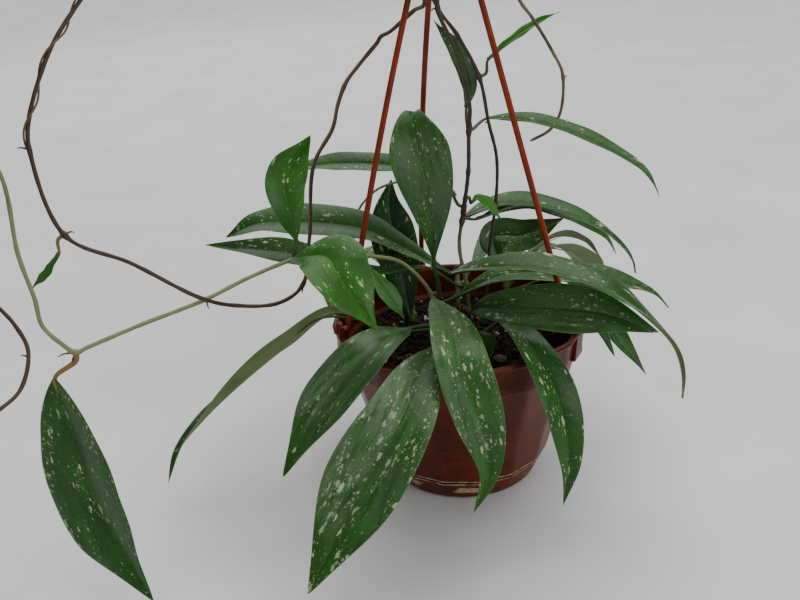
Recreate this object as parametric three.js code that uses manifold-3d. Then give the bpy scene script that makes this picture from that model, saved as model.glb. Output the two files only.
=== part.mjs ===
// Potted hoya: a trailing wax plant in a facetted plastic hanging pot with a clip-on saucer.
// Millimetres, +Z up. The origin is the centre of the saucer's flat foot, on the table.
// The front of the plant faces -Y.

import * as THREE from "three";
import { mergeVertices } from "three/addons/utils/BufferGeometryUtils.js";
import Module from "manifold-3d";

const wasm = await Module();
wasm.setup();

// ---------------------------------------------------------------- driving dimensions

const SEAT = 0.3;             // clearance between touching pieces

const POT = {
  sides: 16,                  // flat facets round the pot
  turn: -2.6,                 // degrees that the facets are turned about the axis
  height: 108.4,              // table to the top of the rim
  rimRadius: 80.1,            // corner radius of the rim
  bandHeight: 20.5,           // the upright band under the rim
  bandFootRadius: 77.2,
  shoulderRadius: 74.6,       // the body's corner radius just under the band
  waistRadius: 56.2,          // the body's corner radius just above the saucer
  footRadius: 47.2,
  wall: 2.1,
  floor: 2.3,
  drainHoles: 6,
  drainRadius: 1.9,
  drainCircle: 28,
};

const SAUCER = { height: 15.6, rimRadius: 55.9, footRadius: 48.8, wall: 1.8, floor: 2.0 };

const SOIL = { level: 87, mound: 2.5, lump: 0.9, rings: 4 };

// The lugs stand on three of the facets, counted from the front; the last number is how far the
// lug's rod bows sideways.
const LUG = {
  facets: [["left", -3, 8.5], ["right", 3, 0], ["back", -7, -4]],
  width: 8,
  flare: 15,                  // width of the strap where it leaves the band
  thick: 3,
  foot: 91,
  top: 117,
  holeHeight: 112,
  holeRadius: 2.2,
};

const HANGER = {
  rodRadius: 1.75,
  pegRadius: 1.7,
  headRadius: 3.0,
  rodSeatRadius: 72.6,        // the rods' distance from the axis beside the lugs
  apex: 372,                  // where the rods' centre lines meet
  hubRadius: 9.6,
  hubFoot: 350,
  hubTop: 376,
  socketDepth: 8,
  hookRadius: 13,
  hookWire: 2.6,
  hookRise: 26,
};

const BLADE = {
  thick: 0.7,
  along: 8,                   // rows of faces along the blade
  across: 4,                  // columns of faces across a wide blade
  baseHalf: 1.5,              // least half width at the base
  tipHalf: 0.5,
  fold: 0.42,                 // rise of the halves from the midrib, as a share of the half width
  turnDown: 0.16,             // how much of that rise the margins lose again
  belly: 1.1,                 // how far out the blade is widest
};
const PETIOLE = { radius: 1.45, sunk: 7, sides: 5 };
const STEM = { sides: 5, knob: 0.8, holeGap: 0.5 };

// ---------------------------------------------------------------- materials

const material = (color, roughness) => new THREE.MeshStandardMaterial({ color, roughness, metalness: 0 });
const darkLeaf = () => material(0x1f4a22, 0.35);
const youngLeaf = () => material(0x3a7a2c, 0.35);
const backOfLeaf = () => material(0x5d7a45, 0.5);
const brownStem = () => material(0x3b2a20, 0.6);
const greenStem = () => material(0x7d8f5c, 0.6);
const terracotta = () => material(0x8e3a26, 0.35);
const rodRed = () => material(0x8a2f22, 0.4);
const pottingMix = () => material(0x171310, 0.95);

// ---------------------------------------------------------------- solids

const rad = THREE.MathUtils.degToRad;
const vec = (p) => new THREE.Vector3(...p);

// One closed solid from a three.js geometry, with its faces turned to point out.
function solid(geometry) {
  const bare = geometry.clone();
  bare.deleteAttribute("normal");
  bare.deleteAttribute("uv");
  const welded = mergeVertices(bare, 1e-4);
  const points = welded.attributes.position.array;
  const corners = [...welded.index.array];
  const triangles = [];
  let volume = 0;
  for (let i = 0; i < corners.length; i += 3) {
    const [a, b, c] = corners.slice(i, i + 3);
    if (a === b || b === c || c === a) continue;
    triangles.push([a, b, c]);
    const [p, q, r] = [a, b, c].map((k) => new THREE.Vector3().fromArray(points, 3 * k));
    volume += p.dot(q.cross(r)) / 6;
  }
  const facing = volume < 0 ? triangles.map(([a, b, c]) => [a, c, b]) : triangles;
  return new wasm.Manifold(new wasm.Mesh({
    numProp: 3,
    vertProperties: new Float32Array(points),
    triVerts: new Uint32Array(facing.flat()),
  }));
}

// A named mesh from a solid.
function mesh(name, body, look) {
  const { vertProperties, triVerts } = body.getMesh();
  const geometry = new THREE.BufferGeometry();
  geometry.setAttribute("position", new THREE.BufferAttribute(new Float32Array(vertProperties), 3));
  geometry.setIndex(new THREE.BufferAttribute(new Uint32Array(triVerts), 1));
  geometry.computeVertexNormals();
  const made = new THREE.Mesh(geometry, look);
  made.name = name;
  return made;
}

// A facetted body of revolution about +Z, lined up with the pot's facets.
function turned(profile, sides = POT.sides, start = rad(POT.turn + 180 / POT.sides)) {
  const points = profile.map(([r, z]) => new THREE.Vector2(r, z));
  return solid(new THREE.LatheGeometry(points, sides, start, 2 * Math.PI).rotateX(Math.PI / 2));
}

// A round tube along a smooth curve through the points, or along a straight line.
function tube(points, radius, sides, steps) {
  const ring = [];
  for (let i = 0; i < sides; i += 1) {
    const a = (2 * Math.PI * i) / sides;
    ring.push(new THREE.Vector2(radius * Math.cos(a), radius * Math.sin(a)));
  }
  const path = points.length > 2 ? new THREE.CatmullRomCurve3(points) : new THREE.LineCurve3(...points);
  const options = { steps, bevelEnabled: false, extrudePath: path };
  return solid(new THREE.ExtrudeGeometry(new THREE.Shape(ring), options));
}

const atAngle = (angle, radius, z) => new THREE.Vector3(
  radius * Math.sin(rad(angle)), -radius * Math.cos(rad(angle)), z);
const lugAngle = (facet) => POT.turn + (360 / POT.sides) * facet;

// ---------------------------------------------------------------- pot and saucer

const potFloorTop = SAUCER.floor + SEAT + POT.floor;
const stepHeight = SAUCER.height + 0.6;
const bandFoot = POT.height - POT.bandHeight;

// The pot narrows where the saucer's wall clips round it.
const stepRadius = SAUCER.rimRadius - SAUCER.wall - 1;

// Corner points of the pot's inner wall, from the floor up to the band.
function innerWall(gap = 0) {
  const inset = POT.wall + gap;
  return [
    [POT.footRadius - inset, potFloorTop + gap],
    [stepRadius - inset, stepHeight],
    [POT.waistRadius - inset, stepHeight + 4],
    [POT.shoulderRadius - inset, bandFoot - 1.2],
  ];
}

// Foot, the step that takes the saucer, the tapered body, the band and the rolled lip.
function potShell() {
  const foot = SAUCER.floor + SEAT;
  return turned([
    [0, foot],
    [POT.footRadius, foot],
    [stepRadius, stepHeight],
    [POT.waistRadius, stepHeight],
    [POT.shoulderRadius, bandFoot],
    [POT.bandFootRadius, bandFoot],
    [POT.bandFootRadius + 0.4, bandFoot + 0.8],
    [POT.rimRadius - 0.9, POT.height - 3.6],
    [POT.rimRadius + 0.5, POT.height - 2.4],
    [POT.rimRadius + 0.6, POT.height - 1.0],
    [POT.rimRadius - 0.4, POT.height],
    [POT.rimRadius - 2.2, POT.height],
    [POT.rimRadius - 3.1, POT.height - 1.2],
    [POT.bandFootRadius - POT.wall, bandFoot + 1.2],
    ...innerWall().reverse(),
    [0, potFloorTop],
  ]);
}

// An upright ear on the band: a flared strap below, a plain tab with a hole above.
function lug(angle) {
  const outline = new THREE.Shape();
  outline.moveTo(-LUG.flare / 2, LUG.foot);
  outline.lineTo(LUG.flare / 2, LUG.foot);
  outline.lineTo(LUG.width / 2, POT.height - 3);
  outline.lineTo(LUG.width / 2, LUG.top - 2);
  outline.lineTo(LUG.width / 2 - 2, LUG.top);
  outline.lineTo(-LUG.width / 2 + 2, LUG.top);
  outline.lineTo(-LUG.width / 2, LUG.top - 2);
  outline.lineTo(-LUG.width / 2, POT.height - 3);
  outline.closePath();
  const hole = new THREE.Path();
  hole.absarc(0, LUG.holeHeight, LUG.holeRadius, 0, 2 * Math.PI, true);
  outline.holes.push(hole);
  const options = { depth: LUG.thick, bevelEnabled: false, curveSegments: 5 };
  const plate = new THREE.ExtrudeGeometry(outline, options);
  plate.rotateX(Math.PI / 2);
  plate.translate(0, -lugRadius(), 0);
  return solid(plate.rotateZ(rad(angle)));
}

// The lugs' inner face, measured across the flats.
function lugRadius() {
  return (POT.rimRadius - 2.6) * Math.cos(Math.PI / POT.sides);
}

function pot() {
  let body = potShell();
  for (const [, facet] of LUG.facets) body = body.add(lug(lugAngle(facet)));
  for (let i = 0; i < POT.drainHoles; i += 1) {
    const drill = new THREE.CylinderGeometry(POT.drainRadius, POT.drainRadius, 20, 6);
    drill.rotateX(Math.PI / 2);
    const centre = atAngle((360 / POT.drainHoles) * i, POT.drainCircle, SAUCER.floor);
    body = body.subtract(solid(drill.translate(...centre)));
  }
  return body;
}

// A shallow facetted dish, flush with the pot's body just above it.
function saucer() {
  return turned([
    [0, 0],
    [SAUCER.footRadius - 1, 0],
    [SAUCER.footRadius, 0.9],
    [SAUCER.rimRadius, SAUCER.height],
    [SAUCER.rimRadius - SAUCER.wall, SAUCER.height],
    [SAUCER.footRadius - 1.0, SAUCER.floor],
    [0, SAUCER.floor],
  ]);
}

// ---------------------------------------------------------------- hanger

// Direction of a rod, from its seat beside a lug up to the apex.
function rodLine(angle, bow = 0) {
  const seat = atAngle(angle, HANGER.rodSeatRadius, LUG.holeHeight);
  const apex = new THREE.Vector3(0, 0, HANGER.apex);
  const up = apex.clone().sub(seat).normalize();
  const length = seat.distanceTo(apex);
  const bend = atAngle(angle - 90, bow, 0);
  const along = (distance) => seat.clone().addScaledVector(up, distance)
    .addScaledVector(bend, Math.sin((Math.PI * distance) / length));
  return { seat, up, length, along };
}

// A slightly bowed rod, turned out at its foot into a peg that snaps through the lug's hole.
function rod(angle, bow) {
  const { length, along } = rodLine(angle, bow);
  const top = length - HANGER.apex + HANGER.hubFoot + HANGER.socketDepth;
  const stops = [-1.2, 0.25 * top, 0.5 * top, 0.75 * top, length - 30, top];
  const shaft = tube(stops.map(along), HANGER.rodRadius, 7, 9);
  const outer = lugRadius() + LUG.thick + SEAT;
  const pegStart = atAngle(angle, HANGER.rodSeatRadius, LUG.holeHeight);
  const pegEnd = atAngle(angle, outer + 0.6, LUG.holeHeight);
  const headStart = atAngle(angle, outer, LUG.holeHeight);
  const headEnd = atAngle(angle, outer + 2, LUG.holeHeight);
  const peg = tube([pegStart, pegEnd], HANGER.pegRadius, 8, 1);
  return shaft.add(peg).add(tube([headStart, headEnd], HANGER.headRadius, 8, 1));
}

// The hub that the rods snap into, and the hook above it.
function hook() {
  const { hubRadius, hubFoot, hubTop, hookRadius, hookWire, hookRise } = HANGER;
  let body = turned([
    [0, hubFoot],
    [hubRadius - 0.8, hubFoot],
    [hubRadius, hubFoot + 1.2],
    [hubRadius - 1.6, hubTop - 12],
    [hookWire + 0.8, hubTop],
    [0, hubTop],
  ], 12, 0);
  const centre = hubTop + hookRise + hookRadius;
  const path = [new THREE.Vector3(0, 0, hubTop - 3), new THREE.Vector3(0, 0, hubTop + hookRise - 10)];
  for (let a = -60; a <= 210; a += 30) {
    path.push(new THREE.Vector3(hookRadius * Math.cos(rad(a)), 0, centre + hookRadius * Math.sin(rad(a))));
  }
  body = body.add(tube(path, hookWire, 7, 26));
  for (const [, facet, bow] of LUG.facets) {
    const { length, along } = rodLine(lugAngle(facet), bow);
    const socketEnd = length - HANGER.apex + hubFoot + HANGER.socketDepth + SEAT;
    const bore = [length - 40, length - 30, socketEnd].map(along);
    body = body.subtract(tube(bore, HANGER.rodRadius + SEAT + 0.1, 8, 3));
  }
  return body;
}

// ---------------------------------------------------------------- stems

// Each stem: its radius, its colour, and the points that it grows through.
const STEMS = {
  vine_low: {
    radius: 1.2,
    look: greenStem,
    rooted: true,
    points: [
      [-12, 6, 75], [-12, 6, 92], [-15, 3, 108], [-18, 0, 124], [-34, -1, 144], [-51, -8, 152],
      [-72, -18, 158], [-95, -30, 161], [-120, -45, 157], [-143, -60, 151], [-176, -80, 146],
      [-200, -96, 142], [-206, -100, 141], [-211, -101, 146], [-220, -101, 158], [-222, -98, 172],
      [-229, -90, 194], [-238, -72, 236], [-258, -68, 252], [-280, -72, 228], [-272, -80, 185],
      [-252, -79, 158], [-245, -82, 150], [-238, -88, 137], [-239, -104, 122], [-246, -115, 117],
      [-258, -120, 112],
    ],
  },
  vine_upright: {
    radius: 1.2,
    look: greenStem,
    rooted: true,
    points: [
      [7, 12, 75], [7, 12, 92], [6, 11, 119], [2, 10, 150], [5, 10, 170], [9, 7, 198], [10, 5, 223],
      [11, 4, 238], [8, 0, 257], [2, -1, 276], [-5, -6, 295], [-2, -13, 316], [1, -15, 338],
      [2, -13, 358], [3, -10, 374], [3, -8, 386],
    ],
  },
  vine_right: {
    radius: 1.05,
    look: brownStem,
    rooted: true,
    points: [
      [19, 32, 75], [19, 32, 92], [20, 31, 120], [22, 30, 143], [26, 30, 169], [27, 25, 200],
      [22, 15, 226], [17, 8, 254], [5, 5, 279], [-4, 5, 292], [-9, -2, 306], [-8, -12, 326],
      [-6, -14, 346], [-7, -12, 362], [-5, -11, 376],
    ],
  },
  vine_loop: {
    radius: 1.2,
    look: brownStem,
    points: [
      [0, -4.2, 391], [-5, -9, 384], [-13, -15, 365], [-15, -18, 342], [-14, -16, 316], [-12, -11, 299],
      [-18, 1, 294], [-25, 7, 288], [-33, 8, 282], [-38, 6, 280], [-40, 6, 277], [-44, 4, 273],
      [-52, 0, 265], [-59, -4, 257], [-64, -8, 246], [-68, -10, 233], [-81, -10, 212], [-88, -12, 167],
      [-93, -24, 142], [-106, -38, 137], [-129, -52, 143], [-144, -66, 155], [-177, -72, 180],
      [-211, -70, 197], [-224, -60, 242], [-223, -55, 257], [-210, -40, 290], [-196, -20, 312],
      [-160, -8, 350], [-105, -2, 382], [-50, -1, 398], [-15, -0.5, 398], [-4.2, 0, 398],
    ],
  },
  shoot_hanging: {
    radius: 0.95,
    look: brownStem,
    points: [
      [3.4, -0.4, 390], [13, -8, 380], [28, -14, 340], [38, -12, 300], [47, 2, 286], [60, 22, 264],
      [69, 42, 244], [68, 48, 220], [62, 49, 210], [49, 49, 203],
    ],
  },
  shoot_back: {
    radius: 0.8,
    look: greenStem,
    points: [
      [1.5, 16, 180], [-6, 24, 188], [-15, 30, 190], [-32, 40, 184], [-49, 47, 177], [-61, 53, 165],
      [-68, 55, 153],
    ],
  },
  stem_front: {
    radius: 1.6,
    look: greenStem,
    rooted: true,
    points: [[6, -10, 75], [6, -10, 92], [5, -12, 101], [4, -15, 110]],
  },
  stem_left_back: {
    radius: 1.5,
    look: greenStem,
    rooted: true,
    points: [[-30, 28, 75], [-30, 28, 92], [-31, 29, 98], [-32, 30, 103]],
  },
  stem_right_back: {
    radius: 1.6,
    look: greenStem,
    rooted: true,
    points: [[34, 44, 75], [34, 44, 92], [33, 45, 105], [32, 47, 118]],
  },
  stem_back: {
    radius: 1.5,
    look: greenStem,
    rooted: true,
    points: [[0, 50, 75], [0, 50, 92], [0, 53, 102], [0, 56, 112]],
  },
};

function stemCurve(name) {
  return new THREE.CatmullRomCurve3(STEMS[name].points.map(vec));
}

// The stem with a swollen knob at each place where a leaf leaves it.
function stem(name) {
  const { radius, points } = STEMS[name];
  let body = tube(points.map(vec), radius, STEM.sides, Math.round(2.2 * points.length));
  const nodes = Object.values(LEAVES).filter((leaf) => leaf.stem === name).map((leaf) => `${leaf.node}`);
  for (const node of new Set(nodes)) {
    const knob = new THREE.OctahedronGeometry(radius + STEM.knob, 0);
    body = body.add(solid(knob.translate(...nodeOn(name, node.split(",").map(Number)).centre)));
  }
  return body;
}

// The point of the stem's centre line nearest to a place, and the stem's direction there.
function nodeOn(name, place) {
  const curve = stemCurve(name);
  const target = vec(place);
  const samples = 600;
  let best = 0;
  let least = Infinity;
  for (let i = 0; i <= samples; i += 1) {
    const gap = curve.getPoint(i / samples).distanceTo(target);
    if (gap < least) {
      least = gap;
      best = i / samples;
    }
  }
  return { centre: curve.getPoint(best), along: curve.getTangent(best) };
}

// ---------------------------------------------------------------- leaves

// Each leaf: the stem and node that it grows from, the points of its midrib from the blade's base
// to its tip, its width, the way that its upper side faces, its fold and belly where they aren't
// the usual ones, and how far in radians it has turned about its midrib at the tip.
const LEAVES = {
  leaf_upright: {
    stem: "vine_low", node: [-17, 1, 121], width: 38, face: [0.1, -1, 0.3], fold: 0.5, belly: 1.6,
    rib: [[-14, -2, 141], [-15, -3, 185], [-21, 5, 217], [-23, 13, 228], [-23, 20, 232], [-21, 27, 231]],
  },
  leaf_upper_left: {
    stem: "vine_low", node: [-95, -30, 161], width: 25, face: [0.3, -1, 0.1], belly: 1.2, young: true,
    rib: [[-93, -28, 171], [-96, -26, 191], [-97, -20, 207], [-81, -12, 230]],
  },
  leaf_left_front: {
    stem: "vine_low", node: [-95, -30, 161], width: 40, face: [0.1, -0.4, 0.9], belly: 0.8, young: true,
    rib: [[-94, -38, 165], [-73, -51, 170], [-65, -64, 163], [-45, -77, 136]],
  },
  leaf_left_arching: {
    stem: "vine_upright", node: [4, 11, 134], width: 31, face: [0, -0.4, 0.9], belly: 1.3,
    rib: [[-3, 15, 128], [-33, 27, 142], [-62, 34, 155], [-125, 26, 164], [-142, 1, 165]],
  },
  leaf_left_low: {
    stem: "vine_upright", node: [6, 11, 122], width: 19, face: [0, -0.6, 0.8], belly: 1.5,
    rib: [[-20, 15, 134], [-56, 16, 132], [-108, 10, 150], [-155, 0, 161]],
  },
  leaf_back_dark: {
    stem: "stem_left_back", node: [-30, 28, 94], width: 32, face: [-0.1, -1, 0.3], belly: 1.3,
    rib: [[-31, 17, 94], [-34, 25, 111], [-37, 34, 129], [-41, 43, 147], [-43, 50, 165], [-41, 56, 180]],
  },
  leaf_small_bright: {
    stem: "vine_low", node: [-54, -11, 153], width: 14, face: [0.4, -0.5, 0.8], young: true,
    rib: [[-53, -16, 148], [-48, -20, 141], [-41, -24, 131], [-33, -28, 119]],
  },
  leaf_left_edge_on: {
    stem: "vine_low", node: [-13, 5, 94], width: 22, face: [-0.5, 0.8, 0.2], fold: 0.62, belly: 1.4,
    twist: 1.7,
    rib: [
      [-47, 3, 95], [-79, -10, 116], [-108, -20, 99], [-141, -27, 75],
      [-162, -41, 60], [-180, -48, 41], [-185, -61, 27],
    ],
  },
  leaf_front_left: {
    stem: "vine_low", node: [-14, 4, 100], width: 37, face: [-0.4, -0.6, 0.7], belly: 1.2,
    rib: [[-30, -9, 103], [-49, -58, 115], [-80, -85, 90], [-102, -103, 59]],
  },
  leaf_front_big: {
    stem: "stem_front", node: [5, -12, 97], width: 46, face: [-0.2, -0.8, 0.6], belly: 1.4,
    rib: [[-13, -38, 106], [-23, -84, 112], [-33, -117, 102], [-55, -138, 72], [-84, -162, 27]],
  },
  leaf_front_middle: {
    stem: "vine_low", node: [-17, 1, 121], width: 32, face: [0.3, -0.7, 0.7],
    rib: [[-16, -12, 125], [-4, -71, 130], [0, -97, 124], [13, -111, 66], [4, -119, 43]],
  },
  leaf_front_right: {
    stem: "stem_front", node: [5, -11, 94], width: 25, face: [0.4, -0.7, 0.6], belly: 1.2,
    rib: [[25, -8, 104], [38, -60, 117], [52, -84, 97], [58, -99, 62], [55, -100, 32]],
  },
  leaf_right_level: {
    stem: "vine_upright", node: [7, 12, 98], width: 29, face: [0, -0.9, 0.5], belly: 1.6,
    rib: [[6, -2, 108], [19, -38, 129], [77, -65, 136], [110, -68, 124]],
  },
  leaf_right_arching: {
    stem: "vine_upright", node: [4, 11, 134], width: 30, face: [0.2, -0.4, 0.9], belly: 1, twist: 1.2,
    rib: [
      [-4, -1, 136], [11, -35, 153], [45, -58, 161], [77, -74, 156], [97, -78, 142],
      [114, -86, 125], [119, -89, 109], [118, -96, 98],
    ],
  },
  leaf_right_under: {
    stem: "vine_low", node: [-16, 2, 113], width: 27, face: [0.1, -0.2, 1],
    rib: [[-5, 1, 117], [32, 0, 133], [120, 4, 116], [132, 0, 106]],
  },
  leaf_right_back: {
    stem: "vine_upright", node: [5, 10, 172], width: 24, face: [0.2, -0.1, 1], belly: 0.9,
    rib: [
      [6, 26, 163], [28, 41, 165], [56, 50, 160], [84, 45, 150],
      [105, 39, 136], [114, 34, 125], [116, 32, 116],
    ],
  },
  leaf_right_back_far: {
    stem: "vine_upright", node: [4, 10, 166], width: 20, face: [0.2, -0.3, 0.9], belly: 1.2,
    rib: [[14, 34, 158], [50, 58, 158], [100, 62, 131], [107, 51, 123]],
  },
  leaf_olive: {
    stem: "stem_right_back", node: [33, 46, 108], width: 16, face: [0.2, 0.5, 0.8], olive: true,
    rib: [[44, 46, 123], [66, 50, 137], [86, 52, 132], [98, 48, 119]],
  },
  leaf_broad_back: {
    stem: "stem_right_back", node: [32, 47, 114], width: 25, face: [-0.2, -0.9, 0.3], belly: 0.7,
    rib: [[28, 60, 120], [26, 66, 132], [47, 71, 131], [75, 77, 140]],
  },
  leaf_new_pale: {
    stem: "vine_upright", node: [5, 10, 180], width: 9, face: [0, -0.5, 0.8], young: true,
    rib: [[10, 16, 175], [14, 17, 178], [19, 18, 175], [24, 18, 169], [29, 18, 163]],
  },
  leaf_top_upright: {
    stem: "vine_upright", node: [10, 5, 226], width: 13, face: [-0.5, -0.9, 0.2], belly: 0.9,
    rib: [[9, 15, 235], [12, 15, 247], [10, 17, 257], [4, 17, 271], [-8, 16, 286]],
  },
  leaf_new_narrow: {
    stem: "vine_right", node: [17, 8, 254], width: 7, face: [-0.3, -0.5, 0.8], young: true,
    rib: [[22, 9, 263], [32, 10, 271], [45, 12, 279], [63, 14, 287]],
  },
  leaf_top_arching: {
    stem: "vine_upright", node: [10, 5, 223], width: 19, face: [0.2, -0.2, 1], belly: 0.9,
    rib: [
      [22, 24, 226], [48, 32, 221], [77, 29, 212], [100, 24, 200],
      [114, 17, 191], [120, 10, 184], [124, 10, 176],
    ],
  },
  leaf_right_tip: {
    stem: "stem_right_back", node: [34, 45, 97], width: 22, face: [0.4, -0.3, 0.9], belly: 1,
    rib: [[42, 22, 106], [60, 2, 118], [78, -13, 115], [87, -18, 101], [95, -23, 85]],
  },
  leaf_right_low: {
    stem: "stem_right_back", node: [34, 45, 101], width: 25, face: [0.3, -0.3, 0.9], belly: 1,
    rib: [[52, 42, 108], [70, 28, 118], [83, 16, 112], [100, 6, 85], [119, -4, 60]],
  },
  leaf_middle_dark: {
    stem: "stem_front", node: [5, -13, 103], width: 17, face: [0.2, -0.7, 0.7],
    rib: [[10, -19, 104], [14, -26, 99], [18, -31, 90]],
  },
  leaf_back_level: {
    stem: "vine_upright", node: [6, 10, 175], width: 19, face: [0, -0.4, 0.9],
    rib: [[-4, 18, 187], [-32, 30, 196], [-83, 33, 199], [-105, 19, 197]],
  },
  leaf_hanging: {
    stem: "vine_low", node: [-206, -100, 141], width: 51, face: [-0.4, -0.9, 0.3], belly: 0.9,
    rib: [[-217, -108, 130], [-211, -115, 102], [-200, -128, 60], [-172, -149, 12]],
  },
  leaf_new_left: {
    stem: "vine_loop", node: [-211, -70, 197], width: 6, face: [-0.5, -0.8, 0.2], young: true,
    rib: [[-215, -73, 188], [-221, -74, 180], [-233, -75, 169]],
  },
  leaf_behind_left: {
    stem: "stem_left_back", node: [-31, 29, 99], width: 36, face: [-0.2, 0.6, 0.8],
    rib: [[-42, 57, 111], [-64, 77, 122], [-88, 98, 98], [-98, 108, 60]],
  },
  leaf_behind_middle: {
    stem: "stem_back", node: [0, 54, 104], width: 34, face: [0, 0.6, 0.8],
    rib: [[10, 64, 112], [30, 98, 120], [38, 132, 98], [36, 148, 54]],
  },
  leaf_behind_right: {
    stem: "stem_right_back", node: [33, 45, 105], width: 32, face: [0.3, 0.5, 0.8],
    rib: [[44, 58, 111], [66, 82, 117], [92, 104, 96], [106, 118, 58]],
  },
};

// Half width of a blade, 0 at the base to 1 at the tip: widest a little beyond the middle, and
// further out the larger the belly, then narrowing to a drawn-out point.
function halfWidth(t, width, belly) {
  const oval = Math.sin(Math.PI * t ** belly) ** 0.78;
  const point = 1 - 0.42 * THREE.MathUtils.smoothstep(t, 0.66, 1);
  const floor = THREE.MathUtils.lerp(BLADE.baseHalf, BLADE.tipHalf, t);
  return Math.max((width / 2) * oval * point, floor);
}

// A thin blade folded along its midrib, its margins turned down and lightly waved. Both faces are
// the same grid, half a thickness to each side, and a strip closes the margin all round.
function blade({ rib, width, face, fold = BLADE.fold, belly = BLADE.belly, twist = 0 }) {
  const { along, thick, turnDown } = BLADE;
  const across = width > 28 ? BLADE.across : 2;
  const curve = new THREE.CatmullRomCurve3(rib.map(vec));
  const chord = curve.getPoint(1).sub(curve.getPoint(0)).normalize();
  const side = chord.cross(vec(face).normalize()).normalize();
  const upper = [];
  const lower = [];
  for (let i = 0; i <= along; i += 1) {
    const t = i / along;
    const centre = curve.getPointAt(t);
    const ahead = curve.getTangentAt(t);
    const level = side.clone().addScaledVector(ahead, -side.dot(ahead)).normalize();
    const over = level.clone().cross(ahead);
    const roll = twist * t * t;
    const out = level.clone().multiplyScalar(Math.cos(roll)).addScaledVector(over, Math.sin(roll));
    const up = over.clone().multiplyScalar(Math.cos(roll)).addScaledVector(level, -Math.sin(roll));
    const half = halfWidth(t, width, belly);
    for (let j = 0; j <= across; j += 1) {
      const v = (2 * j) / across - 1;
      const rise = half * (fold * Math.abs(v) - turnDown * v * v) + 0.5 * Math.sin(9 * t + width) * v * v;
      const point = centre.clone().addScaledVector(out, 0.95 * half * v).addScaledVector(up, rise);
      upper.push(point.clone().addScaledVector(up, thick / 2));
      lower.push(point.clone().addScaledVector(up, -thick / 2));
    }
  }
  return solid(twoFaced(upper, lower, along, across));
}

// Two matching grids of points joined into one closed skin.
function twoFaced(upper, lower, rows, columns) {
  const step = columns + 1;
  const count = upper.length;
  const index = [];
  for (let i = 0; i < rows; i += 1) {
    for (let j = 0; j < columns; j += 1) {
      const a = i * step + j;
      index.push(a, a + 1, a + step, a + 1, a + step + 1, a + step);
      index.push(a + count, a + step + count, a + 1 + count);
      index.push(a + 1 + count, a + step + count, a + step + 1 + count);
    }
  }
  const margin = [];
  for (let j = 0; j < columns; j += 1) margin.push(j);
  for (let i = 0; i < rows; i += 1) margin.push(i * step + columns);
  for (let j = columns; j > 0; j -= 1) margin.push(rows * step + j);
  for (let i = rows; i > 0; i -= 1) margin.push(i * step);
  margin.forEach((a, k) => {
    const b = margin[(k + 1) % margin.length];
    index.push(a, a + count, b, b, a + count, b + count);
  });
  const geometry = new THREE.BufferGeometry();
  geometry.setFromPoints([...upper, ...lower]);
  geometry.setIndex(index);
  return geometry;
}

// The stalk leaves its knob at right angles to the stem, bends to the blade and runs on under it
// as the start of the midrib.
function petiole({ stem: parent, node, rib, width }) {
  const { centre, along } = nodeOn(parent, node);
  const curve = new THREE.CatmullRomCurve3(rib.map(vec));
  const base = curve.getPointAt(0);
  const away = base.clone().sub(centre);
  away.addScaledVector(along, -away.dot(along)).normalize();
  const reach = STEMS[parent].radius + STEM.knob + 0.8 * SEAT;
  const start = centre.clone().addScaledVector(away, reach);
  const bend = centre.clone().addScaledVector(away, reach + 2.5);
  const end = curve.getPointAt(PETIOLE.sunk / curve.getLength());
  const radius = width > 20 ? PETIOLE.radius : 0.7 * PETIOLE.radius;
  return tube([start, bend, base, end], radius, PETIOLE.sides, 4);
}

function leaf(name) {
  return blade(LEAVES[name]).add(petiole(LEAVES[name]));
}

function leafLook(name) {
  if (LEAVES[name].young) return youngLeaf();
  return LEAVES[name].olive ? backOfLeaf() : darkLeaf();
}

// ---------------------------------------------------------------- potting mix

// Height of the mix at a fraction of the radius and an angle: a low mound with a lumpy surface.
function soilHeight(fraction, angle) {
  const lumps = Math.sin(3 * angle + 9 * fraction) * Math.cos(5 * angle - 4 * fraction);
  return SOIL.level + SOIL.mound * (1 - fraction ** 2) + SOIL.lump * lumps * fraction;
}

// The filled inside of the pot, with a hole where each stem stands.
function soil() {
  const wall = innerWall(SEAT + 0.1);
  const [[lowRadius, low], [highRadius, high]] = wall.slice(-2);
  const shoulder = SOIL.level - 3;
  const side = THREE.MathUtils.mapLinear(shoulder, low, high, lowRadius, highRadius);
  wall.splice(-1, 1, [side, shoulder]);
  const profile = [[0, wall[0][1]], ...wall];
  for (let i = SOIL.rings; i >= 0; i -= 1) profile.push([(side * i) / SOIL.rings, SOIL.level]);
  const start = rad(POT.turn + 180 / POT.sides);
  const points = profile.map(([r, z]) => new THREE.Vector2(r, z));
  const shape = new THREE.LatheGeometry(points, POT.sides, start, 2 * Math.PI).rotateX(Math.PI / 2);
  const place = shape.attributes.position;
  for (let i = 0; i < place.count; i += 1) {
    if (place.getZ(i) < SOIL.level - 1) continue;
    const r = Math.hypot(place.getX(i), place.getY(i));
    const fraction = Math.min(r / side, 1);
    const angle = r < 1 ? 0 : Math.atan2(place.getY(i), place.getX(i));
    place.setZ(i, soilHeight(fraction, r < 1 ? 0 : Math.round(angle * 1000) / 1000));
  }
  let body = solid(shape);
  for (const { rooted, radius, points: path } of Object.values(STEMS)) {
    if (!rooted) continue;
    const [x, y, z] = path[0];
    const hole = radius + STEM.holeGap;
    const drill = new THREE.CylinderGeometry(hole, hole, 30, 8);
    drill.rotateX(Math.PI / 2);
    body = body.subtract(solid(drill.translate(x, y, z - SEAT + 15)));
  }
  return body;
}

// ---------------------------------------------------------------- the plant in its pot

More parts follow.
